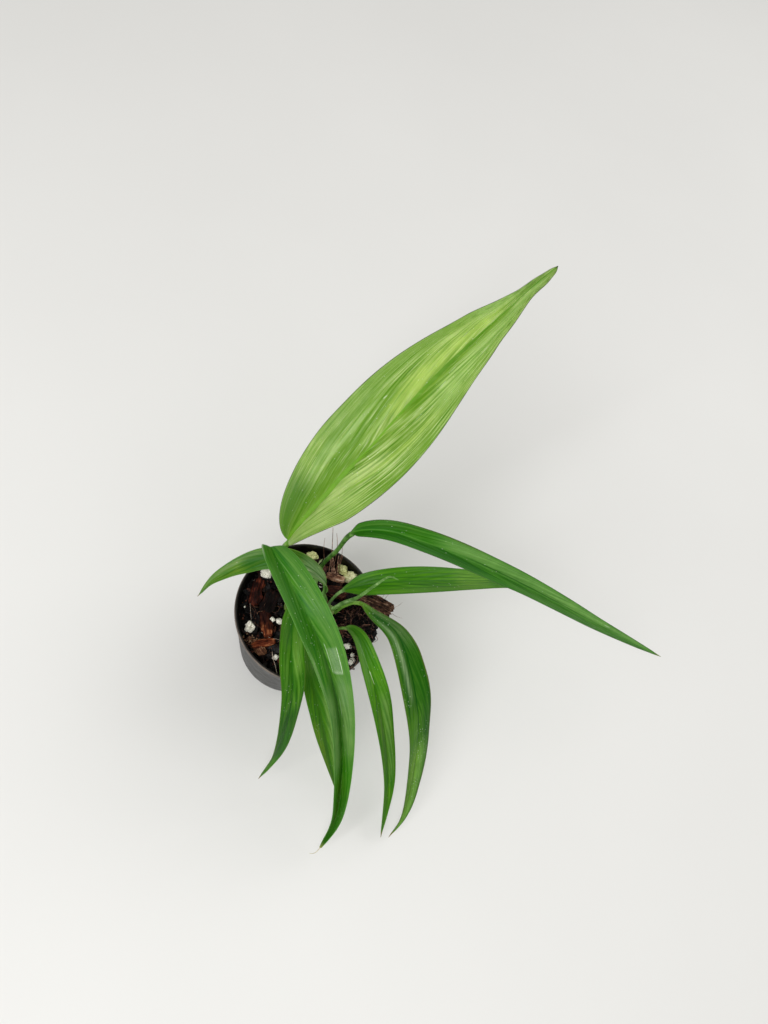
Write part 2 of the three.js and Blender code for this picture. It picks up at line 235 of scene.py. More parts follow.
studio = dict(
    lamps=dict(
        key=dict(place=(-0.75, -0.75, 1.15), size=0.9, power=17),
        fill=dict(place=(0.9, 0.5, 1.0), size=1.1, power=6),
    ),
    sky=0.55, floorHalf=4,
)
world = bpy.data.worlds.new("studio")
scene.world = world
world.use_nodes = True
background = world.node_tree.nodes["Background"]
background.inputs["Color"].default_value = toLinear("#fffdf9")
background.inputs["Strength"].default_value = studio["sky"]
for name, light in studio["lamps"].items():
    lamp = bpy.data.lights.new(name, "AREA")
    lamp.energy, lamp.size = light["power"], light["size"]
    holder = newObject(name, lamp)
    holder.location = light["place"]
    holder.rotation_euler = (-holder.location).to_track_quat("-Z", "Y").to_euler()
scene.view_settings.view_transform = "Standard"

board, add = newMaterial("painted board, matt", {"Roughness": 0.8})
grain = add("TexNoise", [add("TexCoord").outputs["Object"], None, 3, 4])
bm = bmesh.new()
bmesh.ops.create_grid(bm, x_segments=1, y_segments=1, size=studio["floorHalf"])
floor = newObject("floor", meshFrom(bm, "floor"))
floor.data.materials.append(shaded(board, add("ValToRGB", [grain], [(0.3, "#dadad8"), (0.7, "#dededc")])))
print("camera, light and floor set")


# Pot: thin injection-moulded polypropylene, glossy black

pot = dict(
    topRadius=40, baseRadius=31, height=68, wall=1, floor=1.4, lipStep=0.5, lipHeight=2.4,
    # the last two: radius and height in mm of the band where the painted rim highlight lies
    turns=144, drains=8, drainCircle=24, drainSize=6, rimHighlightRadius=(39.35, 39.8), rimHighlightHeight=(65.6, 67),
)


def outerRadius(z):
    return pot["baseRadius"] + z * (pot["topRadius"] - pot["lipStep"] - pot["baseRadius"]) / pot["height"]


def spinProfile(bm, profile, turns):
    verts = [bm.verts.new(Vector((r, 0, z)) * mm) for r, z in profile]
    edges = [bm.edges.new(pair) for pair in zip(verts, verts[1:])]
    bmesh.ops.spin(
        bm, geom=verts + edges, cent=(0, 0, 0), axis=(0, 0, 1), angle=2 * pi, steps=turns, use_merge=True
    )
    bmesh.ops.remove_doubles(bm, verts=bm.verts, dist=0.002 * mm)
    bmesh.ops.recalc_face_normals(bm, faces=bm.faces)


def pottedPlastic():
    # polypropylene: satin black, dusty low down, with a painted grey highlight along the rim
    material, add = newMaterial("polypropylene, moulded black", {"IOR": 1.49, "Specular IOR Level": 0.35})
    where = add("TexCoord").outputs["Object"]
    # flow marks 6 mm wide, and dust from the mix as specks 0.7 mm across
    flow = add("TexNoise", [where, None, 1 / (6 * mm), 3])
    dust = add("TexNoise", [where, None, 1 / (0.7 * mm), 5])
    patchy = add("Math", [flow, dust], **times)
    colour = add("ValToRGB", [flow], [(0.35, "#060606"), (0.65, "#0b0b0b")])
    colour = add("MixRGB", [add("MapRange", [patchy, 0.25, 0.42, 0.02, 0.35]), colour, "#38291d"])
    flat = add("VectorMath", [where, (1, 1, 0)], **times)
    radius = add("VectorMath", [flat], operation="LENGTH").outputs["Value"]
    # painted highlight: grey along the outer edge of the rim near the top, broken up by the flow marks
    rimHighlight = add("MapRange", [radius, *(r * mm for r in pot["rimHighlightRadius"])])
    height = add("SeparateXYZ", [where]).outputs["Z"]
    upper = add("MapRange", [height, *(z * mm for z in pot["rimHighlightHeight"]), 0, 0.75])
    for share in (upper, add("MapRange", [flow, 0.3, 0.6, 0.45, 1])):
        rimHighlight = add("Math", [rimHighlight, share], **times)
    colour = add("MixRGB", [rimHighlight, colour, "#83756a"])
    rough = add("MapRange", [patchy, 0.15, 0.42, 0.36, 0.52])
    skin = add("TexNoise", [where, None, 1 / (1.2 * mm), 2])
    return shaded(material, colour, rough, [(skin, 0.2, 0.03)])


def makePot():
    p = pot
    top, base, height, circle = p["topRadius"], p["baseRadius"], p["height"], p["drainCircle"]
    lipFoot = height - p["lipHeight"]
    inner = lambda z: outerRadius(z) - p["wall"]
    profile = [
        (0, 0.5), (circle - 8, 0.5), (circle - 7.4, 0),
        (base - 1.2, 0), (base - 0.4, 0.15), (base + 0.05, 0.9),
        *((outerRadius(z), z) for z in (8, 30, 52, lipFoot - 0.5)),
        (outerRadius(lipFoot) + 0.25, lipFoot - 0.05),
        (top - 0.05, lipFoot + 0.1), (top, lipFoot + 0.5), (top, height - 0.45), (top - 0.15, height - 0.12),
        (top - 0.5, height), (inner(height) + 0.35, height - 0.05), (inner(height) + 0.02, height - 0.4),
        *((inner(z), z) for z in (60, 30, 3)),
        (inner(2) - 0.6, 1.6), (inner(2) - 1.8, p["floor"]), (0, p["floor"]),
    ]
    bm = bmesh.new()
    spinProfile(bm, profile, p["turns"])
    shell = newObject("shell", meshFrom(bm, "shell"))
    bm = bmesh.new()
    radius = p["drainSize"] / 2 * mm
    for i in range(p["drains"]):
        spot = Matrix.Translation(Vector((*aroundAxis(circle, tau * i / p["drains"]), 0)) * mm)
        bmesh.ops.create_cone(
            bm, cap_ends=True, segments=24, radius1=radius, radius2=radius, depth=8 * mm, matrix=spot
        )
    punches = newObject("punches", meshFrom(bm, "punches"))
    cut = shell.modifiers.new("drains", "BOOLEAN")
    cut.object, cut.operation, cut.solver = punches, "DIFFERENCE", "EXACT"
    bm = bmesh.new()
    bm.from_mesh(bpy.data.meshes.new_from_object(shell.evaluated_get(bpy.context.evaluated_depsgraph_get())))
    bpy.data.objects.remove(shell)
    bpy.data.objects.remove(punches)
    bmesh.ops.remove_doubles(bm, verts=bm.verts, dist=0.003 * mm)
    addPiece("nurseryPot", bm, [pottedPlastic()], ["pot"], 35)


makePot()
print("pot made")


# Growing mix: damp bark, coir and pumice, loose and chunky

# chips, slivers and crumbs: count, length from and to, height above the mix, most lean, breadth and depth;
# those longer than blockFrom start as blocks, the rest as balls
mix = dict(
    level=59, mound=dict(azimuth=-14, height=7.5, spread=46, near=19, far=38), edge=37.3,
    chips=(150, (4.5, 9), 0.6, 26, 0.55, 0.3), slivers=(700, (2.2, 5), 0.9, 45, 0.55, 0.35),
    crumbs=(1100, (0.8, 2), 1.3, 90, 0.8, 0.7), tones=(0.08, 0.15, 0.22, 0.3, 0.36, 0.45, 0.56, 0.7),
    heap=(-28.8, -16.8), heapSpread=3.6, heapCrumbs=170, wetAbove=63, wetTone=0.32, batch=40, seed=7,
    gap=0.3, turns=120, blockFrom=4.4, rough=0.16,
    clumps=[(-8, 35.8, 68.2, 4.8), (-18, 36, 68.8, 4.6), (-28, 35.6, 68.2, 4.4), (20, 28.5, 63.4, 4)],
)


def mixHeight(x, y):  # millimetres
    rolling = sin(0.52 * x + 1) * cos(0.47 * y) + 0.7 * sin(0.21 * x - 0.33 * y)
    azimuth = degrees(atan2(y, x))
    m = mix["mound"]
    heap = max(0, 1 - ((azimuth - m["azimuth"]) / m["spread"]) ** 2) * eased(m["near"], m["far"], hypot(x, y))
    return mix["level"] + 0.9 * rolling + m["height"] * heap


def dampMix():
    # bark and coir, damp: near black in the gaps, red-brown on the chips, with a grain of 0.9 mm
    material, add = newMaterial("bark and coir, damp", {"Specular IOR Level": 0.2})
    tone = add("Attribute", attribute_name="tone").outputs["Fac"]
    grain = add("TexNoise", [add("TexCoord").outputs["Object"], None, 1 / (0.9 * mm), 6, 0.65])
    mottled = add("Math", [tone, add("MapRange", [grain, 0.3, 0.7, -0.16, 0.16])], operation="ADD")
    colour = add("ValToRGB", [mottled], [
        (0, "#030203"), (0.35, "#080404"), (0.55, "#1c0c09"),
        (0.72, "#44221a"), (0.86, "#7a4e37"), (1, "#b8a080"),
    ])
    rough = add("MapRange", [grain, 0.35, 0.65, 0.35, 0.85])
    return shaded(material, colour, rough, [(grain, 0.9, 0.35)])


def chipPlace(rng, size, lift, leanMost):
    x, y = aroundAxis((mix["edge"] - size * 0.3) * sqrt(rng.random()), rng.uniform(-pi, pi))
    turn = Matrix.Rotation(rng.uniform(0, tau), 4, "Z")
    lean, roll = (Matrix.Rotation(radians(rng.uniform(-leanMost, leanMost)), 4, axis) for axis in "YX")
    return Matrix.Translation(Vector((x, y, mixHeight(x, y) + lift)) * mm) @ turn @ lean @ roll


def makeMix():
    rng = random.Random(mix["seed"])
    noise.seed_set(mix["seed"])
    bm = bmesh.new()
    tone = bm.verts.layers.float.new("tone")
    inner = lambda z: outerRadius(z) - pot["wall"] - mix["gap"]
    floorAt = pot["floor"] + mix["gap"]
    profile = [(r, 50) for r in (*range(0, 31, 2), 31.5, 33, 34.5, 36, 37.2)]
    profile += [(inner(50), 49), (inner(30), 30), (inner(5), 5), (inner(floorAt) - 1, floorAt), (0, floorAt)]
    spinProfile(bm, profile, mix["turns"])
    for vert in bm.verts:
        x, y, z = vert.co / mm
        if z > 49.5:
            lump = noise.fractal(Vector((x, y, 0)) * 0.35, 0.6, 2.1, 4)
            vert.co.z = (mixHeight(x, y) - 1.6 + 1.3 * lump) * mm
        vert[tone] = 0.1
    for i, (azimuth, r, z, size) in enumerate(mix["clumps"]):
        part = bmesh.new()
        partTone = part.verts.layers.float.new("tone")
        bmesh.ops.create_icosphere(part, subdivisions=5, radius=size)
        spot = Vector((*aroundAxis(r, radians(azimuth)), z))
        for vert in part.verts:
            rugged = noise.fractal(vert.co * 0.45 + Vector((9 * i, 0, 0)), 0.7, 2.1, 4)
            vert.co = (spot + vert.co * (1 + 0.28 * rugged)) * mm
            vert[partTone] = 0.12 * rugged - 0.02
        joinInto(bm, part)
    for kind in ("chips", "slivers", "crumbs"):
        count, sizes, lift, leanMost, breadth, depth = mix[kind]
        for i in range(count):
            if i % mix["batch"] == 0:
                part = bmesh.new()
                partTone = part.verts.layers.float.new("tone")
            length = rng.uniform(*sizes)
            place = chipPlace(rng, length, lift + rng.uniform(-0.8, 0.8), leanMost)
            broad, deep = (length * share * rng.uniform(0.6, 1.2) for share in (breadth, depth))
            level = rng.choice(mix["tones"]) + rng.uniform(-0.06, 0.06)
            if kind == "crumbs" and i < mix["heapCrumbs"]:
                x, y = (rng.gauss(c, mix["heapSpread"] / 2) for c in mix["heap"])
                place.translation = Vector((x, y, mixHeight(x, y) + rng.uniform(0.8, 2.2))) * mm
                level = rng.uniform(0.6, 1)
            if place.translation.z / mm > mix["wetAbove"]:
                level *= mix["wetTone"]
            already = len(part.verts)
            if length > mix["blockFrom"]:
                cube = bmesh.ops.create_cube(part, size=0.85 * mm)["verts"]
                bmesh.ops.subdivide_edges(part, edges=edgesOf(cube), cuts=2, use_grid_fill=True)
            else:
                bmesh.ops.create_icosphere(part, subdivisions=1, radius=0.5 * mm)
            made = list(part.verts)[already:]
            for vert in made:
                pushed = noise.noise_vector(vert.co / mm * 2.2 + Vector((i * 1.7, count, 0)))
                vert.co += pushed * mix["rough"] * mm
                vert[partTone] = level
            bmesh.ops.transform(part, matrix=place @ Matrix.Diagonal((length, broad, deep, 1)), verts=made)
            if (i + 1) % mix["batch"] == 0 or i + 1 == count:
                joinInto(bm, part)
    addPiece("growingMix", bm, [dampMix()], ["growing_mix"], 30)


makeMix()
print("growing mix made")


# Leaves: petiole, blade and midrib grown along one line

# what the leaves share where a leaf has no value of its own: millimetres, and shares of the width or length
bladeBuild = dict(
    thickness=0.42, crease=0.9, arch=0.045, pleat=0.13, pleatPitch=2.9, veinReach=0.36, tipHalf=0.14,
    neckHalf=0.8, flare=0, tipFull=0, wave=0.25, waveLengths=(19, 7.7), drift=[(0, 0), (1, 0)], trim=[],
    trimSoft=0.05, petioleRadius=1.75, petioleShare=1, petioleGroove=0.18, ribRadius=(1.45, 0.9), ribRings=48,
    slot="green_leaf", marks=[], gloss=0.24, veinShare=0.42, veinGap=0.9, hairline=0.25, specks=0.12,
    speckShine=0.6, ribHalf=0.8, ribFrom=-1, tipRun=(0.962, 0.99), tip="#7b6a3c", under="#5a8344",
    stalk=("#41702a", "#5f8c40", "#84ab62"),
)


def leafBlade(leaf, side):
    # leaf blade under a waxy cuticle: satin, with parallel veins and fine silvery streaks
    top = side == "top"
    deep, green, light = leaf["greens"]
    edge, edgeStrength = leaf["edge"]
    rib, ribStrength = leaf["rib"]
    material, add = newMaterial(f"leaf cuticle {leaf['piece']} {side}", {
        "Specular IOR Level": leaf["gloss"] if top else 0.18, "IOR": 1.42,
        "Subsurface Weight": 0.12, "Subsurface Radius": (0.5, 1.0, 0.2), "Subsurface Scale": 0.6 * mm,
    })
    where = add("TexCoord").outputs["Object"]
    run = add("UVMap", uv_map="veinRun")  # millimetres across and along the veins
    place = add("Attribute", attribute_name="bladePlace").outputs["Vector"]
    across, along, margin = add("SeparateXYZ", [place]).outputs
    # veins 0.9 or 1.4 mm apart, mottling of 8 mm and cells of 0.4 mm
    fine = add("VectorMath", [run, (1 / leaf["veinGap"], 1 / 40, 0)], **times)
    veins = add("TexNoise", [fine, None, 1, 3, 0.6])
    mottle = add("TexNoise", [where, None, 1 / (8 * mm), 3])
    cells = add("TexNoise", [where, None, 1 / (0.4 * mm), 2])
    if top:
        # streaks 3 mm wide and 45 mm long
        wide = add("VectorMath", [run, (1 / 3, 1 / 45, 0)], **times)
        wideStreaks = add("TexNoise", [wide, None, 1, 4, 0.6])
        blended = add("Math", [wideStreaks, 1 - leaf["veinShare"]], **times)
        blended = add("Math", [veins, leaf["veinShare"], blended], operation="MULTIPLY_ADD")
        colour = add("ValToRGB", [blended], [(0.4, deep), (0.5, green), (0.61, light)])
        frayed = add("Math", [across, add("MapRange", [wideStreaks, 0.3, 0.7, -0.06, 0.06])], operation="ADD")
        # the streak and mark tables hold the leaf's own bands and also painted light: highlights, glints,
        # sheen, reflections and shade, noted at each leaf
        for mark in leaf["streaks"] + leaf["marks"]:
            start, end, low, high, width, tint, strength = mark
            crisp = mark in leaf["marks"]
            thin = width < 0.06 or crisp
            fade = 0.01 if crisp else min(0.09, (high - low) / 3)
            centre = add("MapRange", [along, low, high, start, end])
            off = add("Math", [across if thin else frayed, centre], operation="SUBTRACT")
            off = add("Math", [off], operation="ABSOLUTE")
            solid = width * (0.5 if crisp else 0.15)
            shown = add("MapRange", [off, solid, width * 1.1, strength, 0], **smooth)
            limits = [
                add("MapRange", [along, low, low + fade], **smooth),
                add("MapRange", [along, high - fade, high, 1, 0], **smooth),
            ]
            if crisp or not thin:
                limits.append(add("MapRange", [cells if crisp else veins, 0.36, 0.58, 0.45, 1]))
            for limit in limits:
                shown = add("Math", [shown, limit], **times)
            colour = add("MixRGB", [shown, colour, tint])
        # silvery hairlines 0.5 mm wide and 15 mm long, in patches
        hair = add("TexNoise", [add("VectorMath", [run, (1 / 0.5, 1 / 15, 0)], **times), None, 1, 2])
        hair = add("MapRange", [hair, 0.55, 0.72, 0, leaf["hairline"]])
        for limit in (add("MapRange", [wideStreaks, 0.4, 0.55]), add("MapRange", [along, 0.04, 0.25])):
            hair = add("Math", [hair, limit], **times)
        colour = add("MixRGB", [hair, colour, leaf.get("hairTint", light)])
        ribHalf = add("MapRange", [along, 0, 0.7, leaf["ribHalf"], leaf["ribHalf"] * 0.3])
        fromRib = add("Attribute", attribute_name="ribDistance").outputs["Fac"]
        fromRib = add("Math", [fromRib], operation="ABSOLUTE")
        onRib = add("Math", [fromRib, ribHalf], operation="DIVIDE")
        ribbed = add("MapRange", [onRib, 0.3, 1, ribStrength, 0], **smooth)
        begun = add("MapRange", [along, leaf["ribFrom"], leaf["ribFrom"] + 0.2], **smooth)
        ribTint = add("ValToRGB", [along], [(0.4, rib), (0.58, leaf.get("ribFar", rib))])
        colour = add("MixRGB", [add("Math", [ribbed, begun], **times), colour, ribTint])
        ownGreen = add("MapRange", [along, 0, leaf["fresh"], 1, 0], **smooth)
        colour = add("MixRGB", [ownGreen, colour, leaf["stalk"][1]])
    else:
        colour = add("ValToRGB", [veins], [(0.38, green), (0.5, leaf["under"]), (0.64, light)])
    colour = add("MixRGB", [add("MapRange", [mottle, 0.35, 0.65, 0, 0.22]), colour, deep])
    atEdge = add("MapRange", [margin, 0.12, 0.55, edgeStrength, 0], **smooth)
    atEdge = add("Math", [atEdge, add("MapRange", [mottle, 0.35, 0.6, 0.55, 1])], **times)
    colour = add("MixRGB", [atEdge, colour, edge])
    colour = add("MixRGB", [add("MapRange", [along, *leaf["tipRun"]], **smooth), colour, leaf["tip"]])
    # dried water marks: pale specks up to 0.6 mm across, gathered in patches of 20 mm
    gathered = add("TexNoise", [where, None, 1 / (20 * mm), 1])
    gathered = add("MapRange", [gathered, 0.42, 0.6, 0, leaf["specks"]])
    speckRun = add("VectorMath", [run, (1 / 1.5, 1 / 1.9, 0)], **times)
    specks = add("TexVoronoi", [speckRun, None, 1], voronoi_dimensions="2D")
    near = add("MapRange", [specks.outputs["Distance"], 0.06, 0.19, 1, 0])
    drawn = add("SeparateXYZ", [specks.outputs["Color"]])
    chosen = add("Math", [drawn, gathered if top else 0.02], operation="LESS_THAN")
    speck = add("Math", [near, chosen], **times)
    shine = add("Math", [drawn.outputs[1], leaf["speckShine"]], **times)
    colour = add("MixRGB", [add("Math", [speck, shine], **times), colour, "#dfe9d2"])
    rough = add("MapRange", [veins, 0.3, 0.7, *((0.36, 0.56) if top else (0.55, 0.75))])
    rough = add("Math", [speck, 0.25, rough], operation="MULTIPLY_ADD")
    return shaded(material, colour, rough, [(veins, 0.6, 0.09), (cells, 0.3, 0.03)])


def petioleSkin(leaf):
    # petiole skin: waxy, with pale pores
    material, add = newMaterial(f"petiole skin {leaf['piece']}", {"Specular IOR Level": 0.3, "IOR": 1.42})
    where = add("TexCoord").outputs["Object"]
    mottle = add("TexNoise", [where, None, 1 / (5 * mm), 5])
    pores = add("TexNoise", [where, None, 1 / (0.5 * mm), 2])
    colour = add("ValToRGB", [mottle], zip((0.35, 0.52, 0.68), leaf["stalk"]))
    return shaded(material, colour, add("MapRange", [mottle, 0, 1, 0.35, 0.6]), [(pores, 0.3, 0.05)])


def between(values, share):  # at the start, middle and end, with the corner at the middle eased
    total = 0
    for k in range(-2, 3):
        place = min(max(share + 0.03 * k, 0), 1)
        half = 0 if place < 0.5 else 1
        total += mixed(values[half], values[half + 1], place * 2 - half)
    return total / 5


def driftAt(leaf, u):
    for (u0, a0), (u1, a1) in zip(leaf["drift"], leaf["drift"][1:]):
        if u <= u1:
            return mixed(a0, a1, eased(0, 1, (u - u0) / (u1 - u0)))
    return leaf["drift"][-1][1]


def trimAt(leaf, a, u):
    share, soft = 1, leaf["trimSoft"]
    for side, low, high, narrow in leaf["trim"]:
        if a * side > 0:
            begun = eased(low - soft, low + soft, u if low else 1)
            share *= 1 - (1 - narrow) * begun * (1 - eased(high - soft, high + soft, u))
    return share


def growLeaf(node, own):
    leaf = {**bladeBuild, **own}
    points = [Vector(p) * mm for p in leaf["petiole"] + leaf["blade"]]
    at, length, marks = smoothRun(points)
    start = marks[len(leaf["petiole"])]
    bladeLength = length * (1 - start) / mm
    chord = points[-1] - at(start)
    level = Vector((-chord.y, chord.x, 0)).normalized()
    outline = lambda u: u ** leaf["rise"] * (1 - u) ** leaf["fall"]
    widest = outline(leaf["rise"] / (leaf["rise"] + leaf["fall"]))
    reach = leaf["veinReach"]

    def crossing(share):
        u = max(0, (share - start) / (1 - start))
        step = 0.004
        along = (at(min(share + step, 1)) - at(max(share - step, 0))).normalized()
        side = (level - along * level.dot(along)).normalized()
        side = Matrix.Rotation(radians(between(leaf["roll"], u)), 3, along) @ side
        return at(share), side, along.cross(side)

    bm = bmesh.new()
    run = bm.loops.layers.uv.new("veinRun")
    place = bm.verts.layers.float_vector.new("bladePlace")
    facing = bm.verts.layers.float_vector.new("facing")
    ribDistance = bm.verts.layers.float.new("ribDistance")
    columns, rows = leaf["grid"]
    bmesh.ops.create_grid(bm, x_segments=columns, y_segments=rows, size=1)
    ribs = {}
    for vert in bm.verts:
        a, row = vert.co.x, (vert.co.y + 1) / 2
        key = round(row * rows)
        if key not in ribs:
            u = row ** 1.15
            bladeHalf = leaf["width"] / 2 * outline(u) / widest
            if leaf["flare"]:
                bladeHalf *= mixed(0.5, 1, eased(0, leaf["flare"], u * bladeLength))
            bladeHalf += leaf["tipFull"] * eased(0.84, 0.93, u) * sqrt(1 - eased(0.95, 1, u) ** 3)
            half = max(bladeHalf, mixed(leaf["neckHalf"], leaf["tipHalf"], sqrt(u)))
            fold = radians(between(leaf["fold"], u)) * min(1, bladeHalf / 1.5)
            fold *= 1 - 0.8 * eased(0.86, 0.95, u) if leaf["tipFull"] else 1
            ribs[key] = (u, half, fold, driftAt(leaf, u), crossing(start + (1 - start) * u))
        u, half, fold, drift, (middle, side, up) = ribs[key]
        crease = min(leaf["crease"], 0.3 * half)
        ownHalf = half * trimAt(leaf, a, u) * (1 - drift if a > 0 else 1 + drift)
        x = abs(a) * ownHalf
        out = cos(fold) * x + copysign(cos(fold) * drift * half, a)
        lift = sin(fold) * (hypot(x, crease) - crease)
        lift += leaf["arch"] * half * 4 * abs(a) * (1 - abs(a))
        reached = abs(a) ** 1.15 + 0.8 * abs(a) ** 5  # veins leave the midrib and bend towards the tip
        veinAcross = (u - reach * reached) * leaf["width"] / 2 / reach
        veinAlong = u * bladeLength
        pleat = sin(tau * veinAcross / leaf["pleatPitch"] + 0.7 * sin(veinAlong / 31))
        pleat *= eased(0.03, 0.25, abs(a)) * eased(0, 0.25, 1 - abs(a)) * eased(0, 4, half)
        pleat *= eased(0, 0.16, u)
        lift += leaf["pleat"] * pleat
        slow, quick = leaf["waveLengths"]
        swing = sin(veinAlong / slow + (1.3 if a > 0 else 3.9))
        swing += 0.5 * sin(veinAlong / quick + (0.4 if a > 0 else 2))
        lift += leaf["wave"] * 0.5 * swing * abs(a) ** 2.2 * eased(0, 0.1, u) * eased(0, 0.1, 1 - u)
        vert.co = middle + (side * copysign(out, a) + up * lift) * mm
        vert[place] = (a, u, ownHalf - x)
        vert[ribDistance] = copysign(x, a)
        for loop in vert.link_loops:
            # the halves draw on separate noise
            loop[run].uv = (veinAcross + (300 if a > 0 else 0), veinAlong)
    bmesh.ops.recalc_face_normals(bm, faces=bm.faces)
    middle, side, up = crossing(start + (1 - start) * 0.5)
    if min(bm.faces, key=lambda f: (f.calc_center_median() - middle).length).normal.dot(up) < 0:
        bmesh.ops.reverse_faces(bm, faces=bm.faces)
    bm.normal_update()
    for vert in bm.verts:
        vert[facing] = vert.normal
    under = set(bm.verts)
    bmesh.ops.extrude_face_region(bm, geom=list(bm.faces), use_keep_orig=True)
    for vert in under:  # the wall, thinner towards the margin
        vert.co -= vert[facing] * leaf["thickness"] * mixed(0.4, 1, eased(0, 1.2, vert[place].z)) * mm
    for face in bm.faces:
        face.material_index = 1 if any(vert in under for vert in face.verts) else 0
    bm.verts.layers.float_vector.remove(facing)
    bmesh.ops.recalc_face_normals(bm, faces=bm.faces)
    rings = []
    thick, slim = leaf["ribRadius"]
    steps = max(6, round(length * start / (2 * mm)))
    for i in range(steps):
        centre, side, up = crossing(start * i / steps)
        radius = leaf["petioleRadius"] - 0.5 * eased(0, 0.4, i / steps) + 0.2 * eased(0.7, 1, i / steps)
        radius *= leaf["petioleShare"]
        sunk = eased(0.7, 1, i / steps) * radius * 0.95
        rings.append((centre - up * sunk * mm, side, up, radius * mm))
    for i in range(leaf["ribRings"] + 1):  # the midrib, under the blade
        u = 0.9 * (i / leaf["ribRings"]) ** 1.9
        centre, side, up = crossing(start + (1 - start) * u)
        opened = eased(0, 1.4, leaf["width"] / 2 * outline(u) / widest)  # how far the blade has spread here
        radius = mixed(thick * leaf["petioleShare"], slim, opened) * (1 - u) ** 0.9
        radius *= min(1, 0.5 + leaf["width"] / 30)
        rings.append((centre - up * (radius * 0.95 + 0.25 * opened) * mm, side, up, radius * mm))
    drawTube(bm, rings, 12, leaf["petioleGroove"], slotNumber=2)
    materials = [leafBlade(leaf, "top"), leafBlade(leaf, "underside"), petioleSkin(leaf)]
    addPiece(leaf["piece"], bm, materials, [node], 55)
    print("leaf grown:", leaf["piece"])


# petiole and blade: points of the midrib line; width, outline, fold and roll as in the solid.
# drift: where the midrib runs across the blade; trim: one half made narrower from and to;
# flare: millimetres over which the foot of the blade widens;
# streaks: across at start and end (-1 to 1), along from and to (0 to 1), half-width, colour, strength;
# marks: painted highlights and reflections, as streaks with crisp sides
growLeaf("leaf_silver_streak", dict(
    piece="silverStreakLeaf", slot="silver_leaf",
    petiole=[(-9.5, 7.3, 68), (-11, 15, 70), (-15, 26, 74), (-17, 29, 84)],
    blade=[
        (-17, 27, 100), (0, 46, 120), (21, 70, 147), (55, 106, 175), (86, 139.4, 189.2), (107.1, 162.5, 191),
    ],
    width=52, rise=0.55, fall=1.46, fold=(42, 11, 22), roll=(-18, 8, -13), grid=(88, 190),
    drift=[(0, 0.2), (0.2, 0.1), (0.32, 0), (0.6, -0.09), (0.7, -0.07), (0.8, 0), (0.9, 0.12), (1, 0)],
    trim=[
        (-1, 0, 0.03, 0.75), (1, 0.5, 0.74, 0.92), (-1, 0.46, 0.76, 1.08), (1, 0.86, 2, 0.8),
        (-1, 0.9, 2, 1.2),
    ],
    trimSoft=0.12, tipFull=1.7, veinReach=0.8, wave=0.7, neckHalf=1.7, petioleShare=1.15, veinShare=0.68,
    veinGap=1.4, ribHalf=1.4, ribFar="#518513", hairline=0.6, hairTint="#c4d69a", fresh=0.01, tip="#33401f",
    under="#6f9a48", tipRun=(0.984, 0.999), greens=("#4c7d10", "#7d9f3e", "#b2c980"), edge=("#433c47", 0.85),
    rib=("#649a03", 0.85), stalk=("#3f7010", "#66992a", "#93ba58"),
    streaks=[
        (0.15, 0.3, 0.36, 0.82, 0.3, "#aeca5f", 0.75), (0.54, 0.58, 0.5, 0.88, 0.36, "#a2c05f", 0.5),
        (0.46, 0.46, 0.22, 0.52, 0.32, "#689427", 0.6), (0.24, 0.4, 0.1, 0.5, 0.09, "#4f8012", 0.65),
        (0.56, 0.74, 0.12, 0.46, 0.07, "#518018", 0.6), (0.38, 0.56, 0.1, 0.44, 0.055, "#acc880", 0.6),
        (0.1, 0.26, 0.2, 0.48, 0.05, "#a2c26c", 0.55), (0.52, 0.62, 0.12, 0.3, 0.12, "#9ebe70", 0.55),
        (0.9, 0.86, 0.22, 0.9, 0.3, "#68902e", 0.7), (0.14, 0.14, 0.04, 0.34, 0.2, "#578607", 0.85),
        (0.6, 0.62, -0.15, 0.2, 0.62, "#336403", 0.95), (-0.5, -0.5, -0.1, 0.28, 0.5, "#9ebc66", 0.75),
        (-0.1, -0.5, 0.08, 0.36, 0.22, "#bad082", 0.85), (-0.36, -0.78, 0.18, 0.56, 0.07, "#a4c259", 0.6),
        (-0.26, -0.64, 0.14, 0.34, 0.035, "#6c9a1d", 0.6), (-0.95, -0.95, 0.2, 0.5, 0.22, "#5b8a15", 0.75),
        (-0.5, -0.45, 0.46, 0.98, 0.4, "#9cbe66", 0.75), (-0.7, -0.78, 0.52, 0.84, 0.035, "#669423", 0.55),
        (-0.15, -0.08, 0.38, 0.86, 0.18, "#628e0b", 0.8), (0.8, 0.72, 0.68, 1.05, 0.45, "#9abc6a", 0.7),
        # the last four rows: painted glints, short white flecks
        (-0.31, -0.33, 0.53, 0.56, 0.014, "#e2edcb", 0.4), (-0.25, -0.26, 0.575, 0.6, 0.012, "#e2edcb", 0.4),
        (-0.62, -0.65, 0.65, 0.69, 0.014, "#e2edcb", 0.4), (0.47, 0.46, 0.42, 0.435, 0.016, "#e9f2d8", 0.5),
    ],
))
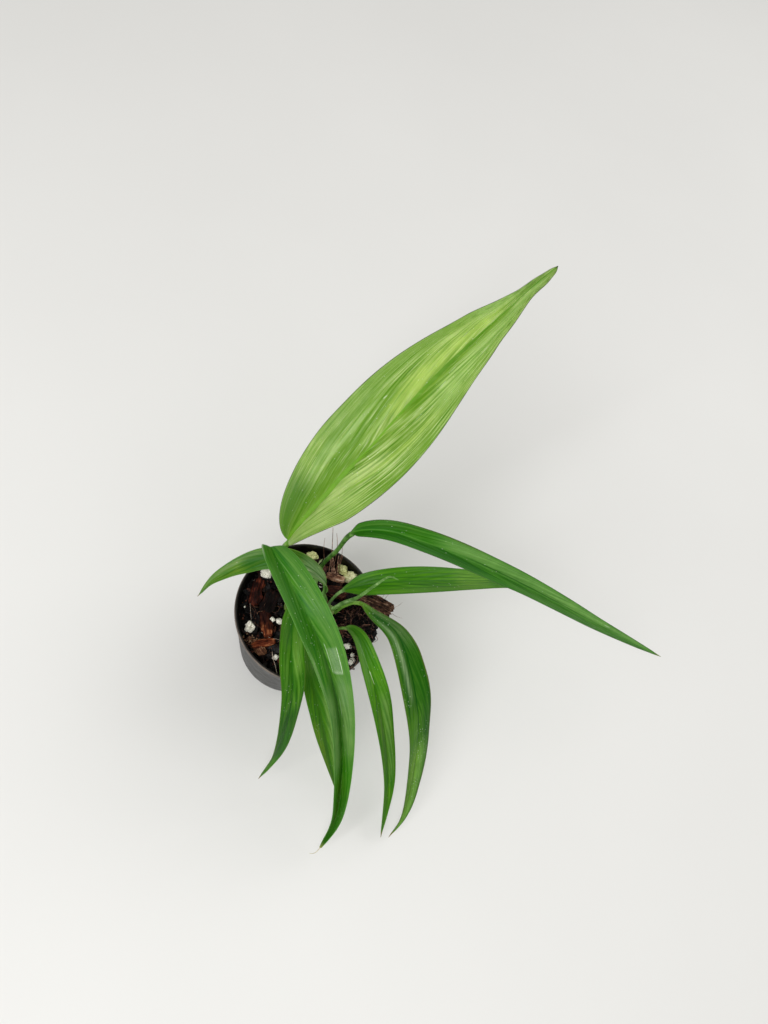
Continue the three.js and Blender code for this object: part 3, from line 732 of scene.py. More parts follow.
growLeaf("leaf_arched_right", dict(
    piece="archedLeafRight", petiole=[(5.7, -1.5, 70), (2, 6, 73), (2, 14, 77), (4, 21, 84), (8, 22, 106)],
    blade=[(11, 24, 126), (25, 22, 138), (46, 18, 138), (100, 11, 116), (173, 0, 80), (230, -7, 52)],
    width=16, rise=0.38, fall=0.84, fold=(37, 39, 15), roll=(16, 12, -8), grid=(36, 190),
    drift=[(0, 0), (0.4, 0.04), (0.8, 0.08), (1, 0)], trim=[(-1, 0.4, 2, 0.93)], ribHalf=0.7, fresh=0.02,
    flare=7, specks=0.07, tip="#6d7a3c", greens=("#145c03", "#32730a", "#4f8929"), edge=("#2b3323", 0.6),
    rib=("#518b25", 0.42), stalk=("#2f5317", "#4d7a2c", "#6f9a4c"),
    streaks=[
        # the first four rows: painted light and shade on the two folded halves, the upper half lighter than
        # the lower
        (0.5, 0.5, 0.16, 0.98, 0.6, "#76a453", 0.85), (0.5, 0.5, -0.1, 0.2, 0.6, "#2c5d03", 0.7),
        (-0.5, -0.5, -0.1, 0.36, 0.65, "#185303", 0.85), (-0.5, -0.5, 0.36, 1.1, 0.55, "#4b7833", 0.7),
        (0.12, 0.14, 0.24, 0.84, 0.055, "#1b5303", 0.85), (0.28, 0.28, 0.36, 0.76, 0.03, "#31640f", 0.6),
        (-0.22, -0.2, 0.44, 0.86, 0.035, "#2a5d07", 0.6), (0.97, 0.97, -0.1, 0.35, 0.12, "#4b4f23", 0.5),
        # painted glint: a small whitish patch
        (0.45, 0.5, 0.745, 0.775, 0.05, "#c4dab4", 0.6),
    ],
))
growLeaf("leaf_low_right", dict(
    piece="lowLeafRight", petiole=[(9, -1.1, 76), (10, 2, 80), (12, 4, 87)],
    blade=[(14, 5, 92), (25, 7, 99), (43, 9, 103), (84, 17, 92), (115, 24, 78), (151, 27, 60)], width=16,
    rise=0.42, fall=0.97, fold=(20, 16, 16), roll=(13, -14, 4), grid=(36, 150), fresh=0.02, flare=12,
    specks=0.07, petioleShare=0.65, tip="#6d7a3c", under="#6c9440", greens=("#2e6a03", "#3d7903", "#4c8703"),
    edge=("#3c4420", 0.5), rib=("#225d03", 0.7), stalk=("#486b34", "#668f4a", "#8cb06c"),
    streaks=[
        (0, 0, 0.42, 0.66, 1.3, "#6c9a31", 0.8), (0.3, 0.3, 0.76, 1.2, 1, "#669649", 0.8),
        (-0.75, -0.7, 0.1, 0.6, 0.3, "#578027", 0.6), (0.27, 0.24, 0.04, 0.7, 0.05, "#154f03", 0.7),
        (-0.3, -0.27, 0.04, 0.7, 0.05, "#154f03", 0.7), (0.58, 0.5, 0.06, 0.6, 0.05, "#1d5503", 0.55),
        (-0.62, -0.55, 0.06, 0.6, 0.05, "#1d5503", 0.55),
    ],
))
growLeaf("leaf_front", dict(
    piece="frontLeaf", petiole=[(-8, 4, 84.6), (-14, 4, 97), (-22, 6, 108), (-27, 10, 115)],
    blade=[
        (-28.4, 14.7, 120.6), (-24.5, 5.8, 125.4), (-11, -18, 125), (1, -34, 112), (17, -61, 80),
        (26, -100, 37), (22, -119, 8),
    ],
    width=24.5, rise=0.26, fall=0.61, fold=(14, 58, 66), roll=(-21, 6, 37), grid=(50, 190),
    drift=[(0, 0), (0.1, 0.06), (0.9, 0.06), (1, 0)], trim=[(-1, 0, 0.5, 0.9), (-1, 0.8, 2, 0.88)], wave=0.4,
    ribFrom=0.12, fresh=0.01, specks=0.16, tip="#77883f", greens=("#0d5f04", "#387804", "#5b8f32"),
    edge=("#86ad6c", 0.25), rib=("#185303", 0.6),
    # painted reflection: a pale patch with crisp bright lines where the glossy flank mirrors the light
    marks=[
        (0.4, 0.4, 0.3, 0.382, 0.24, "#93aa88", 0.5), (0.4, 0.4, 0.367, 0.383, 0.24, "#dbe9cf", 0.4),
        (0.16, 0.16, 0.285, 0.38, 0.02, "#c9deba", 0.7), (0.62, 0.62, 0.3, 0.382, 0.022, "#dbe9cf", 0.8),
    ],
    streaks=[
        # the first two rows: painted sheen, the right flank lighter where it faces the light
        (0.6, 0.6, -0.1, 0.7, 0.55, "#5d883e", 0.65), (0.5, 0.5, 0.36, 0.66, 0.6, "#789c57", 0.8),
        (0.5, 0.5, 0.7, 1.1, 0.7, "#1d5103", 0.7), (-0.62, -0.62, 0.36, 0.72, 0.5, "#729855", 0.95),
        (-0.16, -0.16, 0.28, 0.6, 0.2, "#538037", 0.85), (-0.5, -0.5, -0.1, 0.34, 0.55, "#235b03", 0.7),
        (-0.4, -0.4, 0.66, 1.1, 0.5, "#3c6203", 0.6), (-0.8, -0.8, 0.04, 0.2, 0.12, "#5b8a3c", 0.45),
        (-0.9, -0.88, 0.22, 0.52, 0.08, "#80a464", 0.7), (-0.97, -0.95, -0.05, 0.06, 0.12, "#b8caa8", 0.6),
        # the second row: painted sheen below the painted reflection
        (0, 0.3, 0.03, 0.17, 0.035, "#749c55", 0.6), (0.45, 0.45, 0.372, 0.5, 0.26, "#7a9c68", 0.6),
        (0.17, 0.15, 0.44, 0.53, 0.02, "#b4d2a4", 0.6),
    ],
))
growLeaf("leaf_small_left", dict(
    piece="smallLeafLeft", petiole=[(8, -0.3, 66), (9, 4, 70)],
    blade=[(8, 8, 77), (6, 11, 86), (-4, 16, 93), (-18, 19, 95), (-31, 19, 90), (-50, 11, 79), (-60, 6, 60)],
    width=12, rise=0.67, fall=0.88, fold=(16, 10, 60), roll=(14, -23, 15), grid=(30, 120),
    trim=[(1, 0.65, 2, 0.86)], fresh=0.05, greens=("#1b5d04", "#3e7104", "#658526"), edge=("#7f9a58", 0.3),
    rib=("#1f5d04", 0.6),
    streaks=[
        # the first row: a painted highlight along the upper half
        (-0.6, -0.6, 0.46, 0.98, 0.35, "#7e985a", 0.65), (0.25, 0.2, 0.33, 0.66, 1.2, "#155303", 0.85),
        (0.6, 0.5, 0.6, 0.95, 0.3, "#5f8823", 0.5), (0.2, 0.15, 0.5, 0.95, 0.07, "#155303", 0.6),
        # the first row: a pale band, lightened further as painted light against the front leaf's shade
        (0, 0, 0.07, 0.32, 1.4, "#92b278", 0.8), (0, 0, -0.1, 0.1, 1.4, "#1d3703", 0.7),
        (0.4, 0.3, 0.08, 0.32, 0.08, "#c3cda0", 0.8),
    ],
))
growLeaf("leaf_drooping_right", dict(
    piece="droopingLeafRight", petiole=[(12.2, -3.7, 82), (16, -2.5, 90)],
    blade=[
        (22, -3, 99), (28, -10, 104), (42, -19, 101), (59, -50, 78), (67, -74, 48), (68, -103, 15),
        (63, -113, 5),
    ],
    width=20.5, rise=0.81, fall=0.84, fold=(43, 8, 24), roll=(44, -28, -25), grid=(44, 150),
    trim=[(1, 0.25, 0.82, 0.9)], wave=0.3, gloss=0.08, specks=0.42, speckShine=0.9, ribHalf=0.9, fresh=0.08,
    petioleShare=0.78, greens=("#044603", "#285b0b", "#447321"), edge=("#5c5434", 0.5), rib=("#044703", 0.6),
    stalk=("#4c7d22", "#6f9f38", "#95bb5e"),
    streaks=[
        # the first two rows: painted sheen, a pale grey-green band on the left flank
        (-0.5, -0.42, 0.04, 0.4, 0.34, "#6e8c5b", 0.6), (-0.44, -0.4, 0.08, 0.42, 0.19, "#9ab384", 0.55),
        (0.4, 0.4, -0.1, 0.24, 0.7, "#597244", 0.85), (0.5, 0.45, 0.22, 0.46, 0.7, "#1d5503", 0.6),
        (-0.45, -0.4, 0.4, 0.68, 0.75, "#4f8803", 0.9), (0.4, 0.4, 0.54, 1.1, 0.6, "#76a648", 0.85),
        (-0.4, -0.4, 0.56, 1.1, 0.8, "#6f9f20", 0.8), (-0.93, -0.93, 0.1, 0.6, 0.14, "#4f7c1d", 0.6),
        (0, 0, 0.06, 0.6, 0.04, "#0b4603", 0.85), (0.96, 0.96, 0.1, 0.9, 0.07, "#575b25", 0.6),
    ],
))
growLeaf("leaf_drooping_narrow", dict(
    piece="droopingLeafNarrow", petiole=[(8.6, -8.6, 72), (9.5, -12, 80), (13, -14, 86)],
    blade=[(17, -14, 90), (23, -20, 95), (31, -36, 90), (42, -54, 69), (55, -85, 34), (58, -113, 6)],
    width=14, rise=0.53, fall=0.91, fold=(35, 15, 20), roll=(19, -23, -17), grid=(34, 140),
    trim=[(1, 0.1, 0.7, 0.94)], fresh=0.03, petioleShare=0.62, greens=("#256b03", "#478403", "#5f941f"),
    edge=("#5b6a34", 0.5), rib=("#347603", 0.45), stalk=("#486f24", "#66903e", "#8cae62"),
    # painted glint: a white line on the left flank
    marks=[
        (-0.44, -0.24, 0.09, 0.19, 0.025, "#b9d3a4", 0.5), (-0.24, -0.12, 0.19, 0.255, 0.035, "#e3f2d3", 0.9),
    ],
    streaks=[
        (0.3, 0.25, -0.1, 0.24, 0.55, "#408003", 0.85), (0.4, 0.4, 0.28, 0.76, 0.5, "#6a9246", 0.75),
        (-0.6, -0.55, -0.05, 0.3, 0.4, "#5d8a42", 0.7), (-0.3, -0.3, 0.32, 0.68, 0.5, "#517e23", 0.6),
        (0, 0, 0.76, 1.1, 1.2, "#2e5b03", 0.7),
    ],
))
growLeaf("leaf_drooping_left", dict(
    piece="droopingLeafLeft", petiole=[(-9.3, 0.3, 74), (-10, -2.5, 84)],
    blade=[(-10, -4, 94), (-13, -19, 103), (-13, -34, 105), (-9, -49, 89), (-9, -69, 54), (-15, -83, 10)],
    width=13.5, rise=0.36, fall=0.79, fold=(19, 2, 52), roll=(4, -35, -29), grid=(34, 150),
    trim=[(-1, 0.74, 2, 0.8), (1, 0.3, 0.9, 0.93)], fresh=0.04, gloss=0.15,
    greens=("#1d5f03", "#387206", "#548721"), edge=("#6a6a34", 0.4), rib=("#1a5d03", 0.6),
    streaks=[
        (0.32, 0.3, 0.06, 0.36, 0.28, "#6e9a3c", 0.75), (0.6, 0.5, 0.14, 0.34, 0.3, "#749e42", 0.7),
        (-0.5, -0.5, 0.08, 0.42, 0.35, "#53802c", 0.6), (-0.12, -0.06, 0.26, 0.9, 0.09, "#0f4903", 0.75),
        (0, 0, 0.44, 0.82, 1.3, "#0f4903", 0.75),
    ],
))
growLeaf("leaf_under", dict(
    piece="oliveLeafUnder", slot="olive_leaf", petiole=[(5.5, -8.4, 66), (4, -12, 72)],
    blade=[(-1, -18, 74), (1, -34, 76), (11, -54, 58), (21, -71, 32), (30, -87, 8)], width=13, rise=0.5,
    fall=0.9, fold=(22, 16, 31), roll=(-2, 4, -11), grid=(34, 110), fresh=0.04, gloss=0.18, under="#6c8f3a",
    greens=("#246003", "#366e03", "#477a03"), edge=("#68903a", 0.3), rib=("#2c6603", 0.5),
    stalk=("#4c7d22", "#6f9f38", "#95bb5e"),
    streaks=[
        (0, 0, -0.1, 0.22, 0.9, "#5f8a31", 0.6), (-0.75, -0.7, 0.4, 1.1, 0.42, "#648615", 0.7),
        (0.7, 0.62, 0.26, 1.1, 0.38, "#6e9446", 0.85), (0, -0.1, 0.2, 0.8, 0.3, "#315d03", 0.6),
    ],
))


# Bark chips and husk: split along the grain, ends broken

barks = [
    dict(
        node="bark_chip_left", piece="barkChipLeft", at=(-28.3, 10.5, 61.9), size=(16, 7, 5), turn=80, tilt=4,
        seed=11, look=("#080202", "#1e0805", "#43180d", "#7c4029"),
    ),
    dict(
        # litFrom: painted shade, the far end of this chip darkened where it lies in shade
        node="bark_chip_inner", piece="barkChipInner", at=(-21.8, -6.5, 61.7), size=(17.5, 6.4, 5.2),
        turn=-80, tilt=7, seed=12, look=("#120502", "#341308", "#6a3219", "#b07850"), litFrom=(0, 5),
    ),
    dict(
        # its darkened look is painted shade: this chip lies in shade
        node="bark_chip_back", piece="barkChipBack", at=(17, 14.6, 61), size=(13, 7, 4.4), turn=-10, tilt=3,
        seed=13, look=("#120808", "#2b1310", "#4d2a20", "#7c5240"),
    ),
    dict(
        node="bark_chip_front", piece="barkChipFront", at=(-25, -21, 60.9), size=(10, 6, 4.4), turn=-50,
        tilt=-3, seed=14, look=("#241310", "#513021", "#7d573f", "#b08e70"),
    ),
    dict(
        node="husk_chunk", piece="huskChunk", at=(37.2, 6, 72.1), size=(22, 9.2, 7.2), turn=-27, tilt=17,
        seed=15, strands=True, look=("#070405", "#261712", "#6b4a3a", "#bb9d84"),
    ),
    # pieces lying loose in the mix
    dict(
        piece="barkScrapPale", at=(16.2, 22.9, 62.6), size=(11.5, 3.8, 2.8), turn=-12, tilt=0, seed=31,
        look=("#4a2a20", "#946a54", "#c39c84", "#dcc4ae"),
    ),
    dict(
        piece="barkScrapRed", at=(-22.6, -18.3, 61.8), size=(14, 4.8, 3.6), turn=17, tilt=-3, seed=32,
        look=("#1c0804", "#46190c", "#74391f", "#a8724d"),
    ),
    dict(
        # a dark brown piece; its near-black look is partly its own colour and partly painted shade, as it
        # lies in shade
        piece="barkScrapDark", at=(-21, 5, 61.4), size=(16, 9.5, 4.4), turn=72, tilt=0, seed=33,
        look=("#020101", "#080303", "#150907", "#3a1b12"),
    ),
    dict(
        piece="barkScrapFront", at=(-6, -29, 60.8), size=(12, 6.5, 4), turn=-25, tilt=4, seed=34,
        look=("#120606", "#2e130e", "#57291c", "#8a543c"),
    ),
    dict(
        piece="barkScrapFar", at=(-9, 29.5, 60.8), size=(13, 6, 4.2), turn=14, tilt=-4, seed=35,
        look=("#120606", "#30140e", "#5d2e1f", "#8f5a41"),
    ),
]


def splitWood(name, look, strands, litFrom):
    # dry husk shows separate strands 0.35 mm wide, pine bark plates 0.8 mm thick
    across = 0.35 if strands else 0.8
    material, add = newMaterial(name, {"Specular IOR Level": 0.1})
    local = add("Attribute", attribute_name="grain").outputs["Vector"]
    drawn = add("VectorMath", [local, (1 / 9, 1 / across, 1 / across)], **times)
    strand = add("TexNoise", [drawn, None, 1, 5, 0.6])
    patch = add("TexNoise", [local, None, 1 / 3.2, 3])
    tone = add("Math", [strand, 0.62], **times)
    tone = add("Math", [patch, 0.38, tone], operation="MULTIPLY_ADD")
    colour = add("ValToRGB", [tone], zip((0.4 if strands else 0.36, 0.47, 0.56, 0.68), look))
    if litFrom:  # painted shade: dark at one end, where the chip lies in shade, lit at the other
        damp = add("MapRange", [add("SeparateXYZ", [local]), *litFrom, 0.75, 0])
        colour = add("MixRGB", [damp, colour, "#1c0807"])
    rough = add("MapRange", [strand, 0.3, 0.7, 0.5, 0.9])
    return shaded(material, colour, rough, [(strand, 1, 0.3)])


def splitBark(bark):
    strands = bark.get("strands", False)
    bm = bmesh.new()
    grain = bm.verts.layers.float_vector.new("grain")
    edges = edgesOf(bmesh.ops.create_cube(bm, size=2)["verts"])
    bmesh.ops.subdivide_edges(bm, edges=edges, cuts=26 if strands else 20, use_grid_fill=True)
    long, broad, deep = (0.5 * s for s in bark["size"])
    far = Vector((bark["seed"] * 3.1, 0, 0))
    rough = lambda x, y, z: noise.noise(Vector((x, y, z)) + far)
    for vert in bm.verts:
        x, y, z = vert.co
        full = (x ** 6 + y ** 6 + z ** 6) ** (1 / 6)
        x, y, z = (c * max(abs(x), abs(y), abs(z)) / full for c in (x, y, z))
        taper = 1 - 0.24 * abs(x) ** 3 * (0.6 + rough(x * 1.1, 7, 0))
        spot = Vector((
            long * x * (0.93 + 0.16 * rough(0, y * broad / 1.3, z * deep / 1.1)),
            broad * (y * taper * (0.9 + 0.2 * rough(x * 1.8, 1, z)) + 0.12 * rough(x * 1.4, 0, 0)),
            deep * z * (0.88 + 0.24 * rough(x * 1.6, y * 1.3, 3)),
        ))
        width = 0.9 if strands else 1.5
        ridge = noise.fractal(Vector((spot.x / 9, spot.y / width, spot.z / width)) + far, 0.6, 2.0, 4)
        outward = Vector((0.15 * x, y * abs(y), z * abs(z)))
        vert.co = (spot + outward * ridge * (0.45 if strands else 0.6)) * mm
        vert[grain] = spot
    turn = Matrix.Rotation(radians(bark["turn"]), 4, "Z") @ Matrix.Rotation(radians(-bark["tilt"]), 4, "Y")
    bmesh.ops.transform(bm, matrix=Matrix.Translation(Vector(bark["at"]) * mm) @ turn, verts=bm.verts)
    kind = "coconut husk, dry" if strands else f"pine bark {bark['piece']}"
    material = splitWood(kind, bark["look"], strands, bark.get("litFrom"))
    addPiece(bark["piece"], bm, [material], [bark.get("node", "growing_mix")])


for bark in barks:
    splitBark(bark)
print("bark and husk made")


# Pumice: foamed glass, chalky, with open pores

pumice = dict(
    pumice_left=dict(
        piece="pumiceLeft", at=(-23.6, 22.6, 61.3), radii=(3.9, 3.1, 3.1), turn=20, seed=21,
        look=("#8b8471", "#dcd8c8", "#f1eee2"),
    ),
    pumice_front=dict(
        piece="pumiceFront", at=(-30.4, -9.6, 60.8), radii=(3.2, 2.6, 2.7), turn=70, seed=22,
        look=("#8a806c", "#d2ccba", "#ebe7da"),
    ),
    pumice_back=dict(
        piece="pumiceBack", at=(20.4, 28.6, 61.6), radii=(3.6, 3.0, 2.9), turn=-30, seed=23,
        look=("#63642f", "#c3c77c", "#eaebad"),
    ),
    pumice_right=dict(
        piece="pumiceRight", at=(25.3, 24, 62.4), radii=(4.1, 3.5, 3.4), turn=15, seed=24,
        look=("#b3b069", "#e8e9a6", "#faf9cc"),
    ),
)
pumiceCrumbs = dict(
    tinted=[(2, 34.4, 64.6, 2.7)],
    white=[
        (23.6, -17.6, 65.4, 1.9), (26.2, -22.4, 65.6, 1.2), (26, -26.2, 65.6, 2.1), (35.6, -12.4, 68.6, 1.5),
        (-14.6, -5.2, 61.8, 1.8), (-18.9, -4.9, 62.6, 1.5), (-15.4, -25.2, 60.6, 1.7), (-34, 2, 60.4, 0.6),
        (8, 18, 60.6, 1.2), (-6, 22, 60.8, 1.4), (-30, 17.5, 60.8, 0.6),
    ],
)


def chalkyPumice(name, look):
    # pores 0.5 mm across, stains 3 mm
    material, add = newMaterial(name, {"Specular IOR Level": 0.2, "Roughness": 0.9})
    where = add("TexCoord").outputs["Object"]
    pores = add("TexVoronoi", [where, None, 1 / (0.55 * mm)])
    stain = add("TexNoise", [where, None, 1 / (2.6 * mm), 5, 0.65])
    hollow = add("MapRange", [pores.outputs["Distance"], 0.1, 0.5])
    colour = add("ValToRGB", [add("Math", [stain, hollow], **times)], zip((0.06, 0.24, 0.48), look))
    return shaded(material, colour, None, [(hollow, 0.8, 0.25)])


def tumbleStone(bm, centre, radii, turn, seed, detail):
    part = bmesh.new()
    bmesh.ops.create_icosphere(part, subdivisions=detail, radius=1)
    far = Vector((seed * 5.3, 1, 2))
    for vert in part.verts:
        blunt = 1 + 0.42 * noise.noise(vert.co * 1.2 + far) + 0.2 * noise.noise(vert.co * 2.9 + far)
        vert.co *= blunt - 0.1 * abs(noise.noise(vert.co * 7 + far))
    place = Matrix.Translation(Vector(centre) * mm) @ Matrix.Rotation(radians(turn), 4, "Z")
    bmesh.ops.transform(part, matrix=place @ Matrix.Diagonal([r * mm for r in radii] + [1]), verts=part.verts)
    for vert in part.verts:  # pressed against the pot's wall, not through it
        room = outerRadius(vert.co.z / mm) - pot["wall"] - 0.25
        reached = hypot(vert.co.x, vert.co.y) / mm
        if reached > room and vert.co.z < pot["height"] * mm:
            vert.co.xy *= room / reached
    joinInto(bm, part)


for node, stone in pumice.items():
    bm = bmesh.new()
    tumbleStone(bm, stone["at"], stone["radii"], stone["turn"], stone["seed"], 5)
    skin = chalkyPumice(f"pumice {stone['piece']}", stone["look"])
    addPiece(stone["piece"], bm, [skin], [node])
for kind, like in (("tinted", "pumice_back"), ("white", "pumice_left")):
    bm = bmesh.new()
    for i, (x, y, z, r) in enumerate(pumiceCrumbs[kind]):
        tumbleStone(bm, (x, y, z), (r * 1.15, r * 0.9, r * 0.85), 37 * i, 40 + i, 4 if r > 2 else 3)
    skin = chalkyPumice(f"pumice crumbs {kind}", pumice[like]["look"])
    addPiece(f"pumiceCrumbs.{kind}", bm, [skin], ["growing_mix"])
print("pumice made")


# Stems, the rolled new leaf and the dead stalk

stems = dict(
    stem_front=dict(
        piece="vineFront", path=[(6, -4, 42), (6.6, -4.5, 62), (8, -5, 76), (8.8, -4.7, 88)],
        radii=(3, 3.2, 2.9, 2.5), nodes=(0.44, 0.62, 0.8, 0.93),
    ),
    stem_back=dict(
        piece="vineBack", path=[(-9, 3, 42), (-9, 3.5, 60), (-8.5, 4, 74), (-8, 4, 83.6)],
        radii=(3, 3.2, 2.9, 2.5), nodes=(0.47, 0.66, 0.85),
    ),
)
newLeaf = dict(
    path=[(9.8, -4.5, 89.2), (14, -3, 96), (19, -3, 106), (24, -2, 124), (28, -2, 138), (31, -5, 143)],
    radii=(1.15, 1.2, 1.05, 0.75, 0.45, 0.18),
)
dryStalk = dict(
    path=[(16, 22.5, 50), (15.4, 23.4, 62), (12.5, 26, 72), (10.7, 28, 80)], radii=(1.35, 1.3, 1.15, 0.5),
)


def plainSkin(name, look, size, roughness, grainDepth):
    # patches of the given size in mm, with a fine grain a sixth of that
    material, add = newMaterial(name, {"Specular IOR Level": 0.3})
    where = add("TexCoord").outputs["Object"]
    patch = add("TexNoise", [where, None, 1 / (size * mm), 5, 0.6])
    fine = add("TexNoise", [where, None, 6 / (size * mm), 3])
    colour = add("ValToRGB", [patch], zip((0.34, 0.5, 0.66), look))
    return shaded(material, colour, add("MapRange", [fine, 0.3, 0.7, *roughness]), [(fine, 0.6, grainDepth)])


def addTube(name, rings, sides, groove, skin, node):
    bm = bmesh.new()
    drawTube(bm, rings, sides, groove)
    addPiece(name, bm, [skin], [node], 50)


vineSkin = plainSkin("vine skin, corky green", ("#3b4a1c", "#5d7d34", "#86925a"), 4, (0.45, 0.7), 0.12)
for node, stem in stems.items():
    rings, steps = [], 70
    plain = tubeRings(stem["path"], stem["radii"], steps, wobble=0.05)
    for i, (centre, side, up, radius) in enumerate(plain):
        knot = sum(exp(-((i / steps - n) / 0.013) ** 2) for n in stem["nodes"])
        rings.append((centre, side, up, radius * (1 + 0.16 * knot)))
    addTube(stem["piece"], rings, 20, 0, vineSkin, node)

skin = plainSkin("rolled young leaf, pale", ("#3f6b22", "#5f8c3f", "#8db070"), 3, (0.4, 0.55), 0.05)
rings = tubeRings(newLeaf["path"], newLeaf["radii"], 60)
addTube("rolledNewLeaf", rings, 20, 0.22, skin, "new_leaf_furled")

skin = plainSkin("dead stalk, papery", ("#2e1814", "#7d5546", "#c9a08a"), 1.6, (0.6, 0.9), 0.2)
rings = tubeRings(dryStalk["path"], dryStalk["radii"], 40, wobble=0.5, seed=3)
addTube("deadStalk", rings, 12, 0, skin, "dry_stalk")
print("stems and new leaf made")


# Fibres: coir strands, dead roots and threads, each a thin round run

fibres = dict(
    loose=150, looseLength=(4, 13), looseRadius=(0.07, 0.16), looseReach=34.5,
    mass=130, massLength=(5, 13), massRadius=(0.09, 0.28), massReach=(22, 40), massAzimuth=(-52, 8),
    seed=23,
    standing=[
        ([(12.5, 25.5, 60), (11.2, 31, 74), (9, 35, 88), (6.5, 37.2, 101)], 0.30),
        ([(14, 24.8, 60), (13.6, 30, 74), (12.4, 34, 86), (10, 37, 94)], 0.24),
        ([(10.5, 27.5, 60), (7.6, 32, 70), (5.6, 35.4, 79), (5.2, 37.4, 85)], 0.20),
        ([(15.5, 26, 60), (17, 30.5, 69), (17.2, 34, 77), (15, 37, 84)], 0.20),
        ([(16.8, 22, 58), (16.6, 24, 66), (14.6, 27, 74), (13.8, 28.6, 82)], 0.45),
        ([(14.2, 23.6, 58), (14, 25.4, 66), (11.6, 27.4, 73), (8.6, 30, 78)], 0.38),
        ([(17.6, 23.4, 58), (17.8, 25.6, 65), (16.6, 28.6, 71), (17.4, 31.4, 76)], 0.32),
    ],
    roots=[
        (
            [
                (-17.5, -22.5, 61.5), (-17.2, -26, 62.6), (-15.6, -30, 63), (-15.2, -33, 64.8),
                (-14.7, -35.6, 66.5),
            ],
            0.24,
        ),
        ([(-31.5, 6, 61), (-31, -1, 63), (-30, -6, 62.4)], 0.14),
        ([(-24, -12, 61.6), (-19, -16, 63), (-15, -15, 62), (-11, -17, 61)], 0.13),
    ],
    husk=[
        ([(42, 8, 76), (44, 10.5, 80), (45, 13, 84), (47.5, 16.5, 88)], 0.09),
        ([(40, 7, 76), (41, 11, 80), (43.5, 13.5, 82)], 0.11),
        ([(45, 2.5, 75.5), (49, 3, 78), (51, 5.5, 80)], 0.11),
        ([(46.5, 0.5, 74), (49, -2, 75), (52, -2.5, 76)], 0.11),
        ([(36, 10, 74), (38, 13.5, 77), (37.5, 16.5, 80)], 0.11),
    ],
    thread=[([(22.2, -118.2, 9), (21, -120.6, 7.4), (18.2, -122, 6.2), (16.4, -121.6, 6.5)], 0.2)],
)


def layFibres(name, runs, look, nodes):
    data = bpy.data.curves.new(name, "CURVE")
    data.dimensions = "3D"
    data.bevel_depth = mm
    data.bevel_resolution = 1
    data.resolution_u = 3
    data.use_fill_caps = True
    for points, radius in runs:
        spline = data.splines.new("NURBS")
        spline.points.add(len(points) - 1)
        spline.order_u = 3
        spline.use_endpoint_u = True
        for i, (knot, point) in enumerate(zip(spline.points, points)):
            knot.co = (*(Vector(point) * mm), 1)
            knot.radius = radius * (1 - 0.55 * i / (len(points) - 1))
    addPiece(name, data, [plainSkin(name, look, 2.5, (0.5, 0.85), 0.05)], nodes)


def strayRun(rng, start, length, heading, curl):
    # wanders from start, curling as it goes
    points, place = [start], Vector(start)
    heading = heading.normalized()
    for i in range(5):
        heading = (heading + Vector([rng.gauss(0, curl * share) for share in (1, 1, 0.7)])).normalized()
        place = place + heading * length / 5
        points.append(tuple(place))
    return points


paperySheath = dict(foot=(3.2, 24.6, 75.5), tip=(5.6, 27.6, 79), width=1.8, bow=0.7, thickness=0.12)
bm = bmesh.new()
bmesh.ops.create_grid(bm, x_segments=6, y_segments=14, size=1)
foot, tip = Vector(paperySheath["foot"]), Vector(paperySheath["tip"])
aside = (tip - foot).cross(Vector((0, 0, 1))).normalized()
outward = aside.cross(tip - foot).normalized() * paperySheath["bow"]
for vert in bm.verts:
    x, share = vert.co.x, (vert.co.y + 1) / 2
    bowed = outward * (x * x + sin(pi * share) * 0.6)
    breadth = paperySheath["width"] / 2 * (1 - share) ** 0.6 * (0.75 + 0.25 * cos(9 * share))
    vert.co = (foot.lerp(tip, share) + aside * x * breadth + bowed) * mm
bmesh.ops.solidify(bm, geom=list(bm.faces), thickness=paperySheath["thickness"] * mm)
bmesh.ops.recalc_face_normals(bm, faces=bm.faces)
skin = plainSkin("dry leaf sheath, papery", ("#8f9c68", "#bac696", "#dfe4c6"), 1.5, (0.5, 0.7), 0.06)
addPiece("paperySheath", bm, [skin], ["leaf_arched_right"])

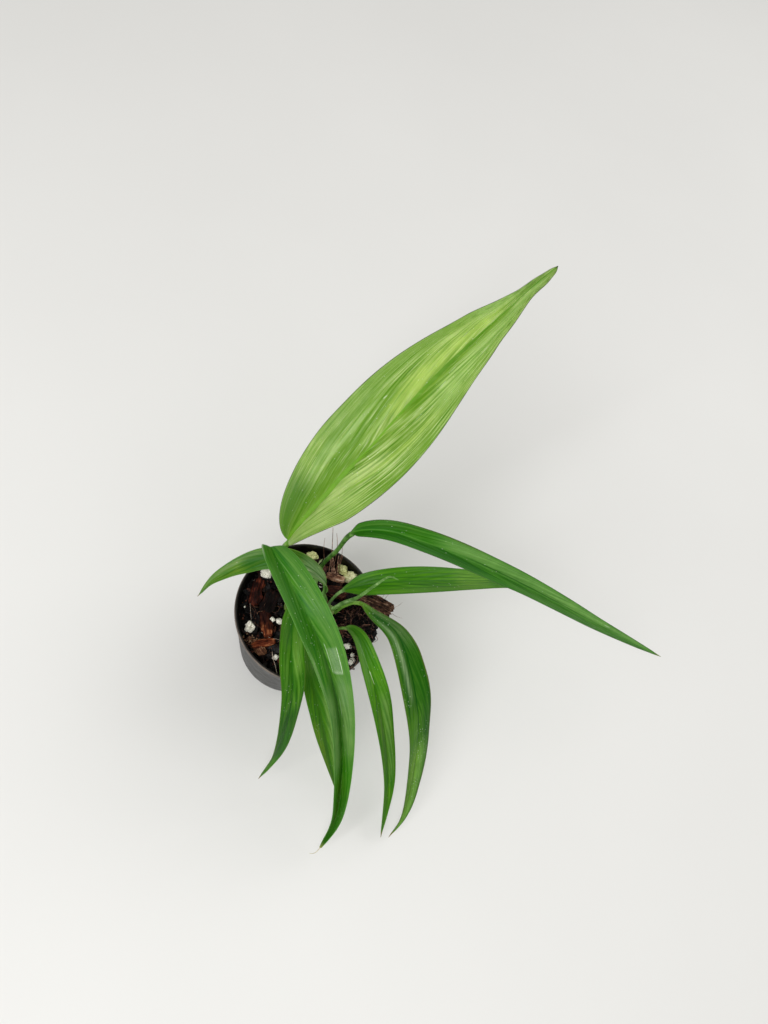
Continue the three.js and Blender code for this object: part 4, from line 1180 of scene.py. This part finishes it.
rng = random.Random(fibres["seed"])
loose, mass = [], []
while len(loose) < fibres["loose"]:
    x, y = aroundAxis(fibres["looseReach"] * sqrt(rng.random()), rng.uniform(-pi, pi))
    heading = Vector((rng.gauss(0, 1), rng.gauss(0, 1), rng.gauss(0.15, 0.3)))
    start = (x, y, mixHeight(x, y) + rng.uniform(0.4, 1.6))
    run = strayRun(rng, start, rng.uniform(*fibres["looseLength"]), heading, 0.35)
    if all(hypot(px, py) < 37 and pz > mixHeight(px, py) - 1 for px, py, pz in run):
        loose.append((run, rng.uniform(*fibres["looseRadius"])))
while len(mass) < fibres["mass"]:
    azimuth, r = radians(rng.uniform(*fibres["massAzimuth"])), rng.uniform(*fibres["massReach"])
    x, y = aroundAxis(r, azimuth)
    outward = Vector((x, y, 0)).normalized()
    heading = outward * rng.uniform(-0.8, 0.8)
    heading = heading + Vector((rng.gauss(0, 0.7), rng.gauss(0, 0.7), rng.gauss(0.1, 0.3)))
    foot = max(mixHeight(x, y) + rng.uniform(0.8, 3), rng.uniform(71.5, 74) if r > 31.5 else 0)
    run = strayRun(rng, (x, y, foot), rng.uniform(*fibres["massLength"]), heading, 0.55)
    inPot = all(hypot(px, py) < (37.8 if pz < 69 else 41.8) for px, py, pz in run)
    if inPot and all(pz > mixHeight(min(px, 37), py) - 1 for px, py, pz in run):
        mass.append((run, rng.uniform(*fibres["massRadius"])))
layFibres("coirStrands", loose, ("#241310", "#4c2b20", "#8d6a4e"), ["growing_mix"])
layFibres("rootMass", mass, ("#0a0505", "#40251f", "#a87c68"), ["growing_mix"])
standingLook = ("#543427", "#8b6552", "#bf9d88")
layFibres("standingStrands", fibres["standing"], standingLook, ["dry_stalk"])
layFibres("paleRoots", fibres["roots"], ("#6d5a4c", "#a39382", "#c9bcae"), ["growing_mix"])
layFibres("huskHairs", fibres["husk"], ("#4a3428", "#7d5f49", "#a98c70"), ["husk_chunk"])
layFibres("tipThread", fibres["thread"], ("#8a7a4a", "#b5a878", "#d4cba4"), ["leaf_front"])
print("fibres laid")
